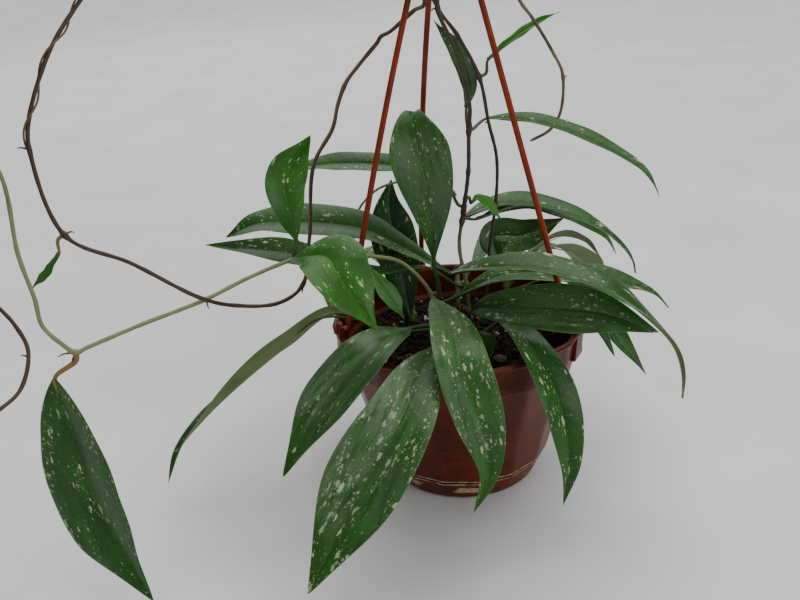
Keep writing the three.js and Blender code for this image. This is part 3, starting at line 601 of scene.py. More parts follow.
# %% Leaf table
# name: stem, node on it, width, way that it faces, midrib, then flecks, tone, and 1 if young
LEAVES = {
    "leaf_upright": ("vine_low", (-17, 1, 121), 38, (0.1, -1, 0.3),
        [(-14, -2, 141), (-15, -3, 185), (-21, 5, 217), (-23, 13, 228), (-23, 20, 232),
         (-21, 27, 231)], 0.35, 0.25, 0),
    "leaf_upper_left": ("vine_low", (-95, -30, 161), 25, (0.3, -1, 0.1),
        [(-93, -28, 171), (-96, -26, 191), (-97, -20, 207), (-81, -12, 230)], 0.2, 0, 1),
    "leaf_left_front": ("vine_low", (-95, -30, 161), 40, (0.1, -0.4, 0.9),
        [(-94, -38, 165), (-73, -51, 170), (-65, -64, 163), (-45, -77, 136)], 0.3, 0.05, 1),
    "leaf_left_arching": ("vine_upright", (4, 11, 134), 31, (0, -0.4, 0.9),
        [(-3, 15, 128), (-33, 27, 142), (-62, 34, 155), (-125, 26, 164), (-142, 1, 165)], 0.3, 0.15, 0),
    "leaf_left_low": ("vine_upright", (6, 11, 122), 19, (0, -0.6, 0.8),
        [(-20, 15, 134), (-56, 16, 132), (-108, 10, 150), (-155, 0, 161)], 0.25, 0.0, 0),
    "leaf_back_dark": ("stem_left_back", (-30, 28, 94), 32, (-0.1, -1, 0.3),
        [(-31, 17, 94), (-34, 25, 111), (-37, 34, 129), (-41, 43, 147), (-43, 50, 165),
         (-41, 56, 180)], 0.3, -0.1, 0),
    "leaf_small_bright": ("vine_low", (-54, -11, 153), 14, (0.4, -0.5, 0.8),
        [(-53, -16, 148), (-48, -20, 141), (-41, -24, 131), (-33, -28, 119)], 0.0, 0.2, 1),
    "leaf_left_edge_on": ("vine_low", (-13, 5, 94), 22, (-0.5, 0.8, 0.2),
        [(-47, 3, 95), (-79, -10, 116), (-108, -20, 99), (-141, -27, 75), (-162, -41, 60),
         (-180, -48, 41), (-185, -61, 27)], 0.4, 0.15, 0),
    "leaf_front_left": ("vine_low", (-14, 4, 100), 37, (-0.4, -0.6, 0.7),
        [(-30, -9, 103), (-49, -58, 115), (-80, -85, 90), (-102, -103, 59)], 0.35, 0.25, 0),
    "leaf_front_big": ("stem_front", (5, -12, 97), 46, (-0.2, -0.8, 0.6),
        [(-13, -38, 106), (-23, -84, 112), (-33, -117, 102), (-55, -138, 72),
         (-84, -162, 27)], 0.75, 0.2, 0),
    "leaf_front_middle": ("vine_low", (-17, 1, 121), 32, (0.3, -0.7, 0.7),
        [(-16, -12, 125), (-4, -71, 130), (0, -97, 124), (13, -111, 66), (4, -119, 43)], 0.7, 0.3, 0),
    "leaf_front_right": ("stem_front", (5, -11, 94), 25, (0.4, -0.7, 0.6),
        [(25, -8, 104), (38, -60, 117), (52, -84, 97), (58, -99, 62), (55, -100, 32)], 0.5, 0.2, 0),
    "leaf_right_level": ("vine_upright", (7, 12, 98), 29, (0, -0.9, 0.5),
        [(6, -2, 108), (19, -38, 129), (77, -65, 136), (110, -68, 124)], 0.3, 0.3, 0),
    "leaf_right_arching": ("vine_upright", (4, 11, 134), 30, (0.2, -0.4, 0.9),
        [(-4, -1, 136), (11, -35, 153), (45, -58, 161), (77, -74, 156), (97, -78, 142),
         (114, -86, 125), (119, -89, 109), (118, -96, 98)], 0.6, 0.2, 0),
    "leaf_right_under": ("vine_low", (-16, 2, 113), 27, (0.1, -0.2, 1),
        [(-5, 1, 117), (32, 0, 133), (120, 4, 116), (132, 0, 106)], 0.5, 0.2, 0),
    "leaf_right_back": ("vine_upright", (5, 10, 172), 24, (0.2, -0.1, 1),
        [(6, 26, 163), (28, 41, 165), (56, 50, 160), (84, 45, 150), (105, 39, 136), (114, 34, 125),
         (116, 32, 116)], 0.4, 0.2, 0),
    "leaf_right_back_far": ("vine_upright", (4, 10, 166), 20, (0.2, -0.3, 0.9),
        [(14, 34, 158), (50, 58, 158), (100, 62, 131), (107, 51, 123)], 0.3, 0.1, 0),
    "leaf_olive": ("stem_right_back", (33, 46, 108), 16, (0.2, 0.5, 0.8),
        [(44, 46, 123), (66, 50, 137), (86, 52, 132), (98, 48, 119)], 0.2, 0.1, 0),
    "leaf_broad_back": ("stem_right_back", (32, 47, 114), 25, (-0.2, -0.9, 0.3),
        [(28, 60, 120), (26, 66, 132), (47, 71, 131), (75, 77, 140)], 0.4, 0.2, 0),
    "leaf_new_pale": ("vine_upright", (5, 10, 180), 9, (0, -0.5, 0.8),
        [(10, 16, 175), (14, 17, 178), (19, 18, 175), (24, 18, 169), (29, 18, 163)], 0.0, 0.6, 1),
    "leaf_top_upright": ("vine_upright", (10, 5, 226), 13, (-0.5, -0.9, 0.2),
        [(9, 15, 235), (12, 15, 247), (10, 17, 257), (4, 17, 271), (-8, 16, 286)], 0.2, 0.3, 0),
    "leaf_new_narrow": ("vine_right", (17, 8, 254), 7, (-0.3, -0.5, 0.8),
        [(22, 9, 263), (32, 10, 271), (45, 12, 279), (63, 14, 287)], 0.0, 0.5, 1),
    "leaf_top_arching": ("vine_upright", (10, 5, 223), 19, (0.2, -0.2, 1),
        [(22, 24, 226), (48, 32, 221), (77, 29, 212), (100, 24, 200), (114, 17, 191),
         (120, 10, 184), (124, 10, 176)], 0.3, 0.3, 0),
    "leaf_right_tip": ("stem_right_back", (34, 45, 97), 22, (0.4, -0.3, 0.9),
        [(42, 22, 106), (60, 2, 118), (78, -13, 115), (87, -18, 101), (95, -23, 85)], 0.1, -0.1, 0),
    "leaf_right_low": ("stem_right_back", (34, 45, 101), 25, (0.3, -0.3, 0.9),
        [(52, 42, 108), (70, 28, 118), (83, 16, 112), (100, 6, 85), (119, -4, 60)], 0.1, 0.1, 0),
    "leaf_middle_dark": ("stem_front", (5, -13, 103), 17, (0.2, -0.7, 0.7),
        [(10, -19, 104), (14, -26, 99), (18, -31, 90)], 0.1, 0.0, 0),
    "leaf_back_level": ("vine_upright", (6, 10, 175), 19, (0, -0.4, 0.9),
        [(-4, 18, 187), (-32, 30, 196), (-83, 33, 199), (-105, 19, 197)], 0.3, 0.3, 0),
    "leaf_hanging": ("vine_low", (-206, -100, 141), 51, (-0.4, -0.9, 0.3),
        [(-217, -108, 130), (-211, -115, 102), (-200, -128, 60), (-172, -149, 12)], 0.6, 0.2, 0),
    "leaf_new_left": ("vine_loop", (-211, -70, 197), 6, (-0.5, -0.8, 0.2),
        [(-215, -73, 188), (-221, -74, 180), (-233, -75, 169)], 0.0, 0.1, 1),
    "leaf_behind_left": ("stem_left_back", (-31, 29, 99), 36, (-0.2, 0.6, 0.8),
        [(-42, 57, 111), (-64, 77, 122), (-88, 98, 98), (-98, 108, 60)], 0.5, 0.2, 0),
    "leaf_behind_middle": ("stem_back", (0, 54, 104), 34, (0, 0.6, 0.8),
        [(10, 64, 112), (30, 98, 120), (38, 132, 98), (36, 148, 54)], 0.6, 0.2, 0),
    "leaf_behind_right": ("stem_right_back", (33, 45, 105), 32, (0.3, 0.5, 0.8),
        [(44, 58, 111), (66, 82, 117), (92, 104, 96), (106, 118, 58)], 0.4, 0.2, 0),
}
print("leaves:", len(LEAVES))

# %% Leaf by leaf values
HALF_STEPS = np.array([0, .012, .035, .07, .12, .19, .28, .38, .49, .6, .71, .81, .89, .95, .985, 1])
ACROSS = np.concatenate([-HALF_STEPS[::-1], HALF_STEPS[1:]])
ROUND_BLADE = np.concatenate([ACROSS, ACROSS[-2:0:-1]])
SIDE = np.concatenate([np.ones(len(ACROSS)), -np.ones(len(ACROSS) - 2)])

# the usual rise of a half blade from its midrib, the belly, above 1 for a widest place beyond the
# middle, and the margin's turn down; and the fold and belly of the leaves that differ
FOLD, BELLY, TURN_DOWN = 0.42, 1.1, 0.16
FOLDS = {"leaf_upright": 0.5, "leaf_left_edge_on": 0.62}
BELLIES = {"leaf_upright": 1.6, "leaf_right_tip": 1, "leaf_right_low": 1, "leaf_back_dark": 1.3,
           "leaf_right_arching": 1, "leaf_right_level": 1.6, "leaf_right_back": 0.9,
           "leaf_right_back_far": 1.2, "leaf_top_arching": 0.9, "leaf_left_edge_on": 1.4,
           "leaf_hanging": 0.9, "leaf_left_arching": 1.3, "leaf_left_low": 1.5, "leaf_upper_left": 1.2,
           "leaf_left_front": 0.8, "leaf_front_right": 1.2, "leaf_front_big": 1.4,
           "leaf_front_left": 1.2, "leaf_broad_back": 0.7, "leaf_top_upright": 0.9}
# how far in radians the blade has turned about its midrib by the time it reaches the tip
TWISTS = {"leaf_right_arching": 1.2, "leaf_left_edge_on": 1.7}
# leaves whose stalks are golden brown
GOLDEN_STALKS = ("leaf_hanging", "leaf_new_left")
# how much painted grey sheen, standing in for light reflected off the wax, the blade carries, most of it
# on one half
USUAL_PAINTED_SHEEN = 0.15
PAINTED_SHEEN = {"leaf_upright": 0.7, "leaf_front_left": 1.0, "leaf_front_big": 0.9, "leaf_front_middle": 0.6,
       "leaf_front_right": 0.1, "leaf_right_level": 0.8, "leaf_right_arching": 0.2,
       "leaf_hanging": 0.1, "leaf_back_level": 0.3, "leaf_small_bright": 0.6,
       "leaf_top_upright": 0.9, "leaf_left_arching": 0.2}
print("leaves with a value of their own:", len({*FOLDS, *BELLIES, *TWISTS, *PAINTED_SHEEN}))

# %% Blade
def half_width(t, width, belly):
    """Half the width, 0 at the base to 1 at the tip: sin(pi t^belly)^0.78, cut by up to 42% over
    the last third, and never under a thin point."""
    oval = np.sin(np.pi * np.clip(t, 0, 1) ** belly) ** 0.78
    s = np.clip((t - 0.66) / 0.34, 0, 1)
    point = 1 - 0.42 * s * s * (3 - 2 * s)
    return np.maximum(width / 2 * oval * point, 1.5 * (1 - t) + 0.25 * t)


# depth and width of the midrib's groove above and of its keel below
GROOVE, KEEL = (0.28, 0.7), (0.55, 1.1)


def rib_frame(line, face):
    """The way ahead at each place of a midrib, and the leaf's one way across."""
    return unit(np.gradient(line, axis=0)), unit(np.cross(unit(line[-1] - line[0]), unit(face)))


def blade(name, rows=84):
    """Rings round a thin blade: place along the midrib + across times the half width + up times
    the fold, with half the thickness up or down, which closes to nothing at both margins. Across
    and up turn about the midrib by the twist times t squared."""
    _, _, width, face, rib, flecks, tone, _ = LEAVES[name]
    t = np.linspace(0, 1, rows)
    line, length = spline(rib, rows)
    ahead, side = rib_frame(line, face)
    out = unit(side - (ahead @ side)[:, None] * ahead)
    up = np.cross(out, ahead)
    roll = (TWISTS.get(name, 0) * t**2)[:, None]
    out, up = out * np.cos(roll) + up * np.sin(roll), up * np.cos(roll) - out * np.sin(roll)
    half = half_width(t, width, BELLIES.get(name, BELLY))[:, None]
    v = ROUND_BLADE[None, :]
    fold = half * (FOLDS.get(name, FOLD) * (np.sqrt(v**2 + 0.0016) - 0.04) - TURN_DOWN * v**2)
    ripple = 0.3 * np.sin(23 * t[:, None] + 5 * np.sign(v) + width)
    wave = 0.5 * np.sin(9 * t + width)[:, None] * v**2 + ripple * v**4
    groove = -GROOVE[0] * np.exp(-(v * half / GROOVE[1]) ** 2)
    keel = -KEEL[0] * np.exp(-(v * half / KEEL[1]) ** 2) * (1 - t[:, None])
    thick = (0.5 + 0.012 * width) * np.sqrt(1 - v**2) * np.minimum(1, 6 * (1 - t[:, None]) + 0.25)
    skins = np.where(SIDE > 0, groove + thick / 2, keel - thick / 2)
    rise = fold + wave * np.minimum(1, 4 * t[:, None]) + skins
    grid = line[:, None] + out[:, None] * (0.95 * half * v)[..., None] + up[:, None] * rise[..., None]
    seed = 37.0 * (sum(map(ord, name)) % 97)
    rim = SIDE * (1 - np.abs(ROUND_BLADE) ** 40)
    look = np.broadcast_to(np.array([flecks, tone, PAINTED_SHEEN.get(name, USUAL_PAINTED_SHEEN)]), grid.shape)
    return skin(grid, leaf_mm=stacked(t[:, None] * length, half * v, seed),
                leaf_place=stacked(t[:, None], v, rim), leaf_look=look)


print("half widths of a 20 mm leaf:", half_width(np.linspace(0, 1, 5), 20, BELLY).round(1), "mm")

# %% Stalk
def stem_values(line, columns, tones):
    """Millimetres along, place round in millimetres, and the brown tone, for a tube's rings."""
    run = distances(line)
    tone = np.interp(np.linspace(0, 1, len(line)), np.linspace(0, 1, len(tones)), tones)
    turn = np.abs(np.linspace(-5, 5, columns, endpoint=False))
    return stacked(run[:, None], turn, tone[:, None])


def bark_tube(line, thick, columns, tones, material=0):
    """A tube with a skin that tells the stem material where it is and how brown."""
    places = stem_values(line, columns, tones)
    return skin(tube(line, thick, columns), material=material, stem_place=places)


def stalk(name):
    """The leaf stalk: a tube from inside the stem's knob, out at right angles, to the blade and on
    under it as the raised midrib, thinning with distance."""
    stem, node, width, face, rib, *_ = LEAVES[name]
    stem_line = STEM_LINES[stem]
    k = nearest(stem_line, node)
    centre, along = stem_line[k], unit(stem_line[k + 1] - stem_line[k - 1])
    line, _ = spline(rib, 60)
    away = line[0] - centre
    away = unit(away - (away @ along) * along)
    radius = 1.45 if width > 20 else 1.0
    ahead, side = rib_frame(line, face)
    down = -unit(np.cross(side, ahead))
    steps = [centre, centre + away * (STEMS[stem][0] + 3.4), line[0] + 0.3 * radius * down[0]]
    steps += [line[k] + down[k] * radius * sunk for k, sunk in ((6, 0.85), (15, 0.7), (28, 0.3))]
    path, total = spline(steps, 60)
    t = np.linspace(0, 1, 60)
    to_blade = np.linalg.norm(line[0] - centre) / total
    taper = radius * np.interp(t, [0, 0.6 * to_blade, to_blade, 1], [1.12, 1.0, 0.85, 0.12])
    return bark_tube(path, taper, 12, [0.45, 0.25, 0.1, 0], 1)


print("points on one stalk:", len(stalk("leaf_upright")["points"]))

# %% Leaves put in place
for leaf_name, (*_, young) in LEAVES.items():
    look = young_leaf if young else old_leaf
    stalk_look = golden_stalk if leaf_name in GOLDEN_STALKS else leaf_stalk
    put(leaf_name + "_fine", [blade(leaf_name), stalk(leaf_name)], [look, stalk_look], [leaf_name])
print("leaves made:", len(LEAVES))

# %% Stems with swollen nodes
def swelling(line, radius, nodes, bare):
    """The stem's radius plus a bell round each node, higher where leaves grow, and unevenness."""
    run = np.arange(len(line))
    uneven = 0.05 * radius * np.sin(run * 0.37) + 0.04 * radius * np.sin(run * 0.91 + 1)
    bells = np.zeros(len(line))
    for spot, height in [(n, 0.8) for n in nodes] + [(b, 0.4) for b in bare]:
        gap = np.linalg.norm(line - np.array(spot), axis=1)
        bells = np.maximum(bells, height * np.exp(-(gap / 2.4) ** 2))
    return radius + uneven + bells


# bare nodes of the long stems, where only rootlets grow
BARE_NODES = {
    "vine_loop": [(-15, -18, 342), (-59, -6, 254), (-93, -24, 142), (-224, -60, 242)],
    "vine_low": [(-143, -60, 151), (-258, -68, 252), (-240, -92, 135)],
    "vine_right": [(26, 30, 169), (5, 5, 279), (-8, -12, 326)],
    "vine_upright": [(9, 7, 198), (-5, -6, 295), (1, -15, 338)],
    "shoot_hanging": [(28, -14, 340), (69, 42, 244)],
}
for stem_name, (radius, tones, _) in STEMS.items():
    line = STEM_LINES[stem_name]
    nodes_here = [node for stem, node, *_ in LEAVES.values() if stem == stem_name]
    thick = rounded_ends(len(line), swelling(line, radius, nodes_here, BARE_NODES.get(stem_name, [])))
    put(stem_name + "_fine", [bark_tube(line, thick, 16, tones)], [stem_bark], [stem_name])
print("stems made:", len(STEMS))

# %% [markdown]
# ## Rootlets and the twining shoot
# Hoyas climb by short air roots at their nodes, and a second thin shoot winds round the long
# brown one. A winding shoot is the host's line plus a small circle that turns as it goes along,
# so it is made from the host's own frame.

# %% Rootlets
# stem, place on it, way that the rootlet grows, its length in millimetres
ROOTLETS = [
    ("vine_loop", (-15, -18, 342), (0.9, -0.2, -0.5), 9),
    ("vine_loop", (-15, -18, 342), (0.5, -0.4, -0.9), 6),
    ("vine_loop", (-5, -9, 384), (-0.8, -0.4, -0.2), 6),
    ("vine_loop", (-93, -24, 142), (-0.2, -0.3, -0.9), 5),
    ("vine_loop", (-211, -70, 197), (0.8, -0.3, 0.4), 9),
    ("vine_loop", (-224, -60, 242), (-0.9, -0.2, 0.4), 7),
    ("vine_low", (-206, -100, 141), (-0.9, -0.3, 0.1), 10),
    ("vine_low", (-143, -60, 151), (0.2, -0.2, -0.9), 5),
    ("vine_low", (-206, -100, 141), (-0.5, -0.5, -0.8), 6),
    ("vine_low", (-240, -92, 135), (-0.7, -0.4, 0.6), 5),
    ("vine_right", (22, 15, 226), (-0.9, -0.3, 0.1), 2.5),
    ("vine_right", (17, 8, 254), (-0.9, -0.2, 0.3), 3),
    ("vine_upright", (-5, -6, 295), (-0.9, -0.3, -0.1), 4),
    ("vine_upright", (-2, -13, 316), (-0.9, -0.3, 0.1), 4),
    ("vine_right", (26, 30, 169), (0.8, -0.5, 0.1), 3),
    ("shoot_hanging", (69, 42, 244), (0.9, -0.3, 0.2), 2.5),
]


def rootlet(stem, spot, way, length):
    """A thin tube that starts inside the stem and droops a little, thinning to its tip."""
    line = STEM_LINES[stem]
    start = line[nearest(line, spot)]
    way = unit(way)
    steps = [start, start + way * 0.35 * length, start + way * 0.7 * length + [0, 0, -0.05 * length],
             start + way * length + [0, 0, -0.22 * length]]
    path, _ = spline(steps, 16)
    thick = np.linspace(0.75, 0.28, 16)
    return bark_tube(path, rounded_ends(16, thick, (0, 1)), 8, [0.9, 0.55])


put("rootlets", [rootlet(*row) for row in ROOTLETS], [stem_bark])
print("rootlets:", len(ROOTLETS))

# %% Twining shoot
WINDING_ROWS = 420


def winding(host, first, last, radius, offset, pitch):
    """A line that winds round part of a stem: its centre + offset(cos, sin) of a growing angle."""
    line = STEM_LINES[host]
    part, length = spline(line[nearest(line, first):nearest(line, last) + 1:6], WINDING_ROWS)
    _, sides, ups = carried_frame(part)
    angle = np.linspace(0, length / pitch, WINDING_ROWS)[:, None] * 2 * np.pi
    reach = offset + 0.5 * np.sin(angle * 0.37) ** 2
    path = part + reach * (np.cos(angle) * sides + np.sin(angle) * ups)
    thick = rounded_ends(WINDING_ROWS, np.full(WINDING_ROWS, radius))
    return bark_tube(path, thick, 10, [0.9, 1, 0.8, 1])


put("twining_shoot", [winding("vine_loop", (-224, -60, 236), (-15, -0.5, 398), 0.6, 1.85, 40)],
    [golden_stalk])
print("shoot wound in", WINDING_ROWS, "steps")

# %% [markdown]
# ## The pot's finish
# The pot is moulded in a smooth red-brown plastic: almost brown in shade, orange where light
# reaches the band. Hard water has left a cream crust along the joint with the saucer and at its
# foot. The crust is thin enough to leave the shape as it is, so the material finds it by height,
# and a ragged noise breaks its edges.

# %% Plastic materials
def crust_band(where, height, low, high, amount):
    """1 where the height lies in a band whose edges a noise makes ragged, broken into patches."""
    ragged = times(noise(stretched(where, (1, 1, 1.6)), 260, 4.0, 0.65), 0.0034)
    outside = minus(size_of(minus(height, (low + high) / 2 * MM)), (high - low) / 2 * MM)
    patchy = step(noise(where, 70), 0.62 - amount, 0.72 - amount)
    return times(step(minus(ragged, outside), 0.0017, 0.0024), patchy)


def plastic(name, dark, bright, roughness, crusts=()):
    """Colour = dark to bright by fine level mould lines and clouds, with a little pale dust, then
    cream where there is crust. Each crust has a lowest and a highest height and an amount."""
    made, tree, shader = new_material(name, roughness, 0.2)
    where = object_place(tree)
    lines = streaky(where, (6, 6, 900))
    cloud = noise(where, 45, 3.0)
    colour = mix(step(plus(times(lines, 0.22), times(cloud, 0.78)), 0.3, 0.7), dark, bright)
    dust = times(step(noise(where, 900), 0.64, 0.72), 0.25)
    colour = mix(dust, colour, (150, 120, 100))
    rough = plus(roughness - 0.06, times(cloud, 0.16))
    if crusts:
        height = parts_of(where)[2]
        crust, *others = [crust_band(where, height, *values) for values in crusts]
        for other in others:
            crust = larger(crust, other)
        cream = mix(noise(where, 500, 3.0), (120, 92, 58), (218, 204, 172))
        colour = mix(crust, colour, cream)
        rough = blend(crust, rough, 0.85)
        bump(shader, plus(crust, times(lines, 0.04)), 0.5, 0.0004)
    else:
        bump(shader, lines, 0.08, 0.0002)
    wire(shader, Base_Color=colour, Roughness=rough)
    return made


pot_plastic = plastic("pot_plastic", (66, 21, 7), (104, 36, 11), 0.34, [(16.2, 17.9, 0.5)])
saucer_plastic = plastic("saucer_plastic", (76, 26, 10), (112, 42, 14), 0.42,
                         [(13.6, 15.2, 0.5), (0.2, 1.5, 0.45), (5.0, 11.0, 0.08)])
rod_plastic = plastic("rod_plastic", (100, 32, 6), (138, 50, 10), 0.36)
print("plastics:", pot_plastic.name, saucer_plastic.name, rod_plastic.name)

# %% [markdown]
# ## The pot
# The pot's wall is a profile carried round the axis. Its section isn't a circle but a polygon
# with 16 sides, so the radius at each angle is the corner radius times a cosine ratio. Cutting
# facets into a turned shape would work, but the ratio gives flat facets and crisp corners at once.

# %% Pot profile and facets
SIDES, FACET_TURN = 16, -2.6
HALF_SIDE = 180 / SIDES


def filleted(profile, size=0.7, steps=5):
    """A profile with each corner replaced by a small parabola: (1-u)^2 a + 2u(1-u) p + u^2 b."""
    p = np.array(profile, float)
    before, corner, after = p[:-2], p[1:-1], p[2:]
    reach = np.minimum(size, 0.35 * np.minimum(np.linalg.norm(corner - before, axis=1),
                                               np.linalg.norm(after - corner, axis=1)))[:, None]
    a, b = corner + reach * unit(before - corner), corner + reach * unit(after - corner)
    u = np.linspace(0, 1, steps)[None, :, None]
    bends = (1 - u) ** 2 * a[:, None] + 2 * u * (1 - u) * corner[:, None] + u**2 * b[:, None]
    return np.concatenate([p[:1], bends.reshape(-1, 2), p[-1:]])


def facetted(profile, facets=1.0, per_side=14):
    """Rings round the axis: corner radius times cos(pi/16)/cos(angle from the facet's middle),
    eased at the corners; where facets is 0 the ring is a circle just inside the corners."""
    a = np.linspace(-1, 1, per_side, endpoint=False) * HALF_SIDE
    a = np.sign(a) * np.abs(a / HALF_SIDE) ** 0.8 * HALF_SIDE
    flat = np.cos(np.pi / SIDES) / np.cos(np.radians(a))
    flat = flat - 0.0035 * np.exp(-((np.abs(a) - HALF_SIDE) / 1.1) ** 2)
    angle = np.radians((np.arange(SIDES)[:, None] * 360 / SIDES + a[None, :] + FACET_TURN).ravel())
    ratio = np.tile(flat, SIDES)[None, :]
    amount = np.broadcast_to(facets, len(profile))[:, None]
    radius = profile[:, :1] * (ratio * amount + 0.995 * (1 - amount))
    return stacked(radius * np.sin(angle), -radius * np.cos(angle), profile[:, 1:])


POT_PROFILE = [(0.4, 2.3), (30, 2.3), (47.2, 2.3), (52.6, 16.5), (56.3, 16.5), (57.6, 21.6),
               (65.4, 52), (74.6, 87.9), (77.2, 87.9), (77.6, 88.7), (78.4, 96), (79.2, 104.8),
               (80.3, 105.8), (80.9, 106.6), (80.7, 107.7), (79.7, 108.4), (77.9, 108.4),
               (77, 107.2), (75.1, 89.1), (72.5, 86.7), (63.3, 52), (54.1, 20.2), (51, 16.2),
               (45.1, 4.6), (20, 4.6), (0.4, 4.6)]
pot_wall = facetted(filleted(POT_PROFILE, 0.5))
print("pot rings:", pot_wall.shape)

# %% [markdown]
# ## The lugs
# Three ears carry the rods: each is a strap on the band that narrows upwards to a tab with a
# hole. The outline is seen from the hole's centre, so a grid runs from the hole's edge out to the
# outline on one face and back on the other, like a flattened ring.

# %% Lugs
LUG_ANGLES = {"left": FACET_TURN - 67.5, "right": FACET_TURN + 67.5, "back": FACET_TURN - 157.5}
LUG_FACE, LUG_THICK, HOLE_HEIGHT, HOLE_RADIUS = 76.0, 3.0, 112.0, 2.2


def turned_about_axis(points, angle):
    """Points turned about +Z by an angle in degrees, counted from the front towards +X."""
    c, s = np.cos(np.radians(angle)), np.sin(np.radians(angle))
    x, y, z = np.moveaxis(points, -1, 0)
    return stacked(c * x - s * y, s * x + c * y, z)


def lug(angle):
    """A flattened ring: hole edge to outline on the front face, round the rim, and back behind.
    Rim and hole are eased so that they catch the light."""
    one_side = [(2, 117), (4, 115), (4, 105.4), (7.5, 91)]
    other_side = [(-x, z) for x, z in one_side[::-1]]
    outline = filleted([(0, 117), *one_side, (0, 91), *other_side, (0, 117)], 1.6, 7)[:-1]
    corners = np.concatenate([outline, outline[:1]])
    run = distances(corners)
    at = np.linspace(0, run[-1], 96, endpoint=False)
    edge = np.stack([np.interp(at, run, corners[:, k]) for k in (0, 1)], -1)
    centre = np.array([0, HOLE_HEIGHT])
    way = unit(edge - centre)
    hole = centre + HOLE_RADIUS * way
    share = np.array([0, 0.04, 0.3, 0.7, 0.96, 1, 1, 0.96, 0.7, 0.3, 0.04, 0])
    depth = np.array([0.4, 0, 0, 0, 0, 0.4, 2.6, 3, 3, 3, 3, 2.6])
    flat = hole[:, None] + (edge - hole)[:, None] * share[None, :, None]
    rib = 0.9 * np.exp(-((np.linalg.norm(flat - centre, axis=-1) - 3.2) / 0.8) ** 2)
    front = -(LUG_FACE + depth[None, :] + np.where(depth > 2, rib, 0))
    return turned_about_axis(stacked(flat[..., 0], front, flat[..., 1]), angle)


lugs = [skin(lug(a), loop=True) for a in LUG_ANGLES.values()]
put("pot_shell", [skin(pot_wall), *lugs], [pot_plastic], ["pot"])
print("lugs:", list(LUG_ANGLES))

# %% [markdown]
# ## The saucer
# The saucer clips round the pot's foot. Its wall has the pot's facets at the top and runs out to
# a smooth round foot, so the facets are blended with a circle from top to bottom.

# %% Saucer
SAUCER_PROFILE = [(0.4, 0), (40, 0), (47.8, 0), (48.8, 0.9), (50.6, 4.6), (55.9, 15.4),
                  (54.1, 15.4), (49.9, 6.5), (47.8, 2), (20, 2), (0.4, 2)]
saucer_rings = filleted(SAUCER_PROFILE, 0.3)
facet_share = np.clip((saucer_rings[:, 1] - 0.6) / 7, 0, 1)
dish = skin(facetted(saucer_rings, facet_share))
put("saucer_dish", [dish], [saucer_plastic], ["saucer"])
print("saucer rings:", len(saucer_rings))

# %% [markdown]
# ## Rods and hook
# Three thin rods of the same plastic run from the lugs to a hub with a hook. Each ends in a peg
# that snaps through its lug. Two of them are slightly bowed, as old hanger rods are.

# %% Rods
APEX, ROD_SEAT, HUB_FOOT = 372.0, 72.6, 350.0
ROD_RADIUS, PEG_RADIUS, PEG_HEAD, WIRE_RADIUS = 1.75, 1.7, 1.25, 2.6
ROD_BOWS = {"left": 8.5, "right": 0, "back": -4}


def at_angle(angle, radius, z):
    """A place at an angle from the front, a distance from the axis and a height."""
    return turned_about_axis(np.array([0, -radius, z], float), angle)


def rod(side):
    """A line from the lug to the apex, plus a sideways sine bow, with a peg and head across it."""
    angle = LUG_ANGLES[side]
    seat, apex = at_angle(angle, ROD_SEAT, HOLE_HEIGHT), np.array([0, 0, APEX])
    length = np.linalg.norm(apex - seat)
    distance = np.linspace(-1.2, length - APEX + HUB_FOOT + 8, 90)[:, None]
    bend = at_angle(angle - 90, ROD_BOWS[side], 0)
    line = seat + unit(apex - seat) * distance + bend * np.sin(np.pi * distance / length)
    shaft = tube(line, rounded_ends(90, ROD_RADIUS, (1, 0)), 18)
    outer = LUG_FACE + LUG_THICK + 0.3
    radial = np.linspace(ROD_SEAT, outer + 2.1, 24)
    peg_line = np.array([at_angle(angle, r, HOLE_HEIGHT) for r in radial])
    head = np.clip((radial - outer) / 0.3, 0, 1)
    head = head * np.sqrt(np.clip((outer + 2.12 - radial) / 1.2, 0.05, 1))
    return [skin(shaft), skin(tube(peg_line, PEG_RADIUS + PEG_HEAD * head, 20))]


for side_name in LUG_ANGLES:
    put(f"rod_{side_name}", rod(side_name), [rod_plastic], [f"hanger_rod_{side_name}"])
print("rods:", list(ROD_BOWS), "of", 2 * ROD_RADIUS, "mm")

# %% Hook
EYE_RADIUS, EYE_HEIGHT = 13, 415
hub_profile = [(0.2, HUB_FOOT), (8.8, HUB_FOOT), (9.6, 351.2), (8.0, 364), (3.4, 376), (0.2, 376)]
hub = round_body(filleted(hub_profile, 1.0), 48)
a = np.radians(np.arange(-60, 211, 15))
bend = stacked(EYE_RADIUS * np.cos(a), 0, EYE_HEIGHT + EYE_RADIUS * np.sin(a))
hook_line, hook_length = spline([(0, 0, 373), (0, 0, 392), *bend.tolist()], 140)
wire_skin = skin(tube(hook_line, rounded_ends(140, WIRE_RADIUS), 20))
put("hook", [skin(hub), wire_skin], [rod_plastic], ["hanger_hook"])
print("hook wire:", round(hook_length, 1), "mm")

# %% [markdown]
# ## The potting mix
# The mix is a dark, crumbly blend of peat and bark with white perlite grains, a pebble and some
# rings of curled bark. The mound is one surface with soft lumps. The crumbs are 1,700 small
# stones made at once: each is the same 20-sided shape, pushed about and placed by arrays.

# %% Potting mix materials
def crumbly(name, colours, scale, roughness=0.95):
    """Colour = first to second by fine noise, broken by a rare third colour."""
    made, tree, shader = new_material(name, roughness, 0.2)
    where = object_place(tree)
    fine, grain = noise(where, scale, 5.0, 0.7), noise(where, scale * 3.1, 3.0)
    colour = mix(step(fine, 0.35, 0.65), colours[0], colours[1])
    wire(shader, Base_Color=mix(step(grain, 0.62, 0.72), colour, colours[2]))
    bump(shader, fine, 0.8, 0.001)
    return made


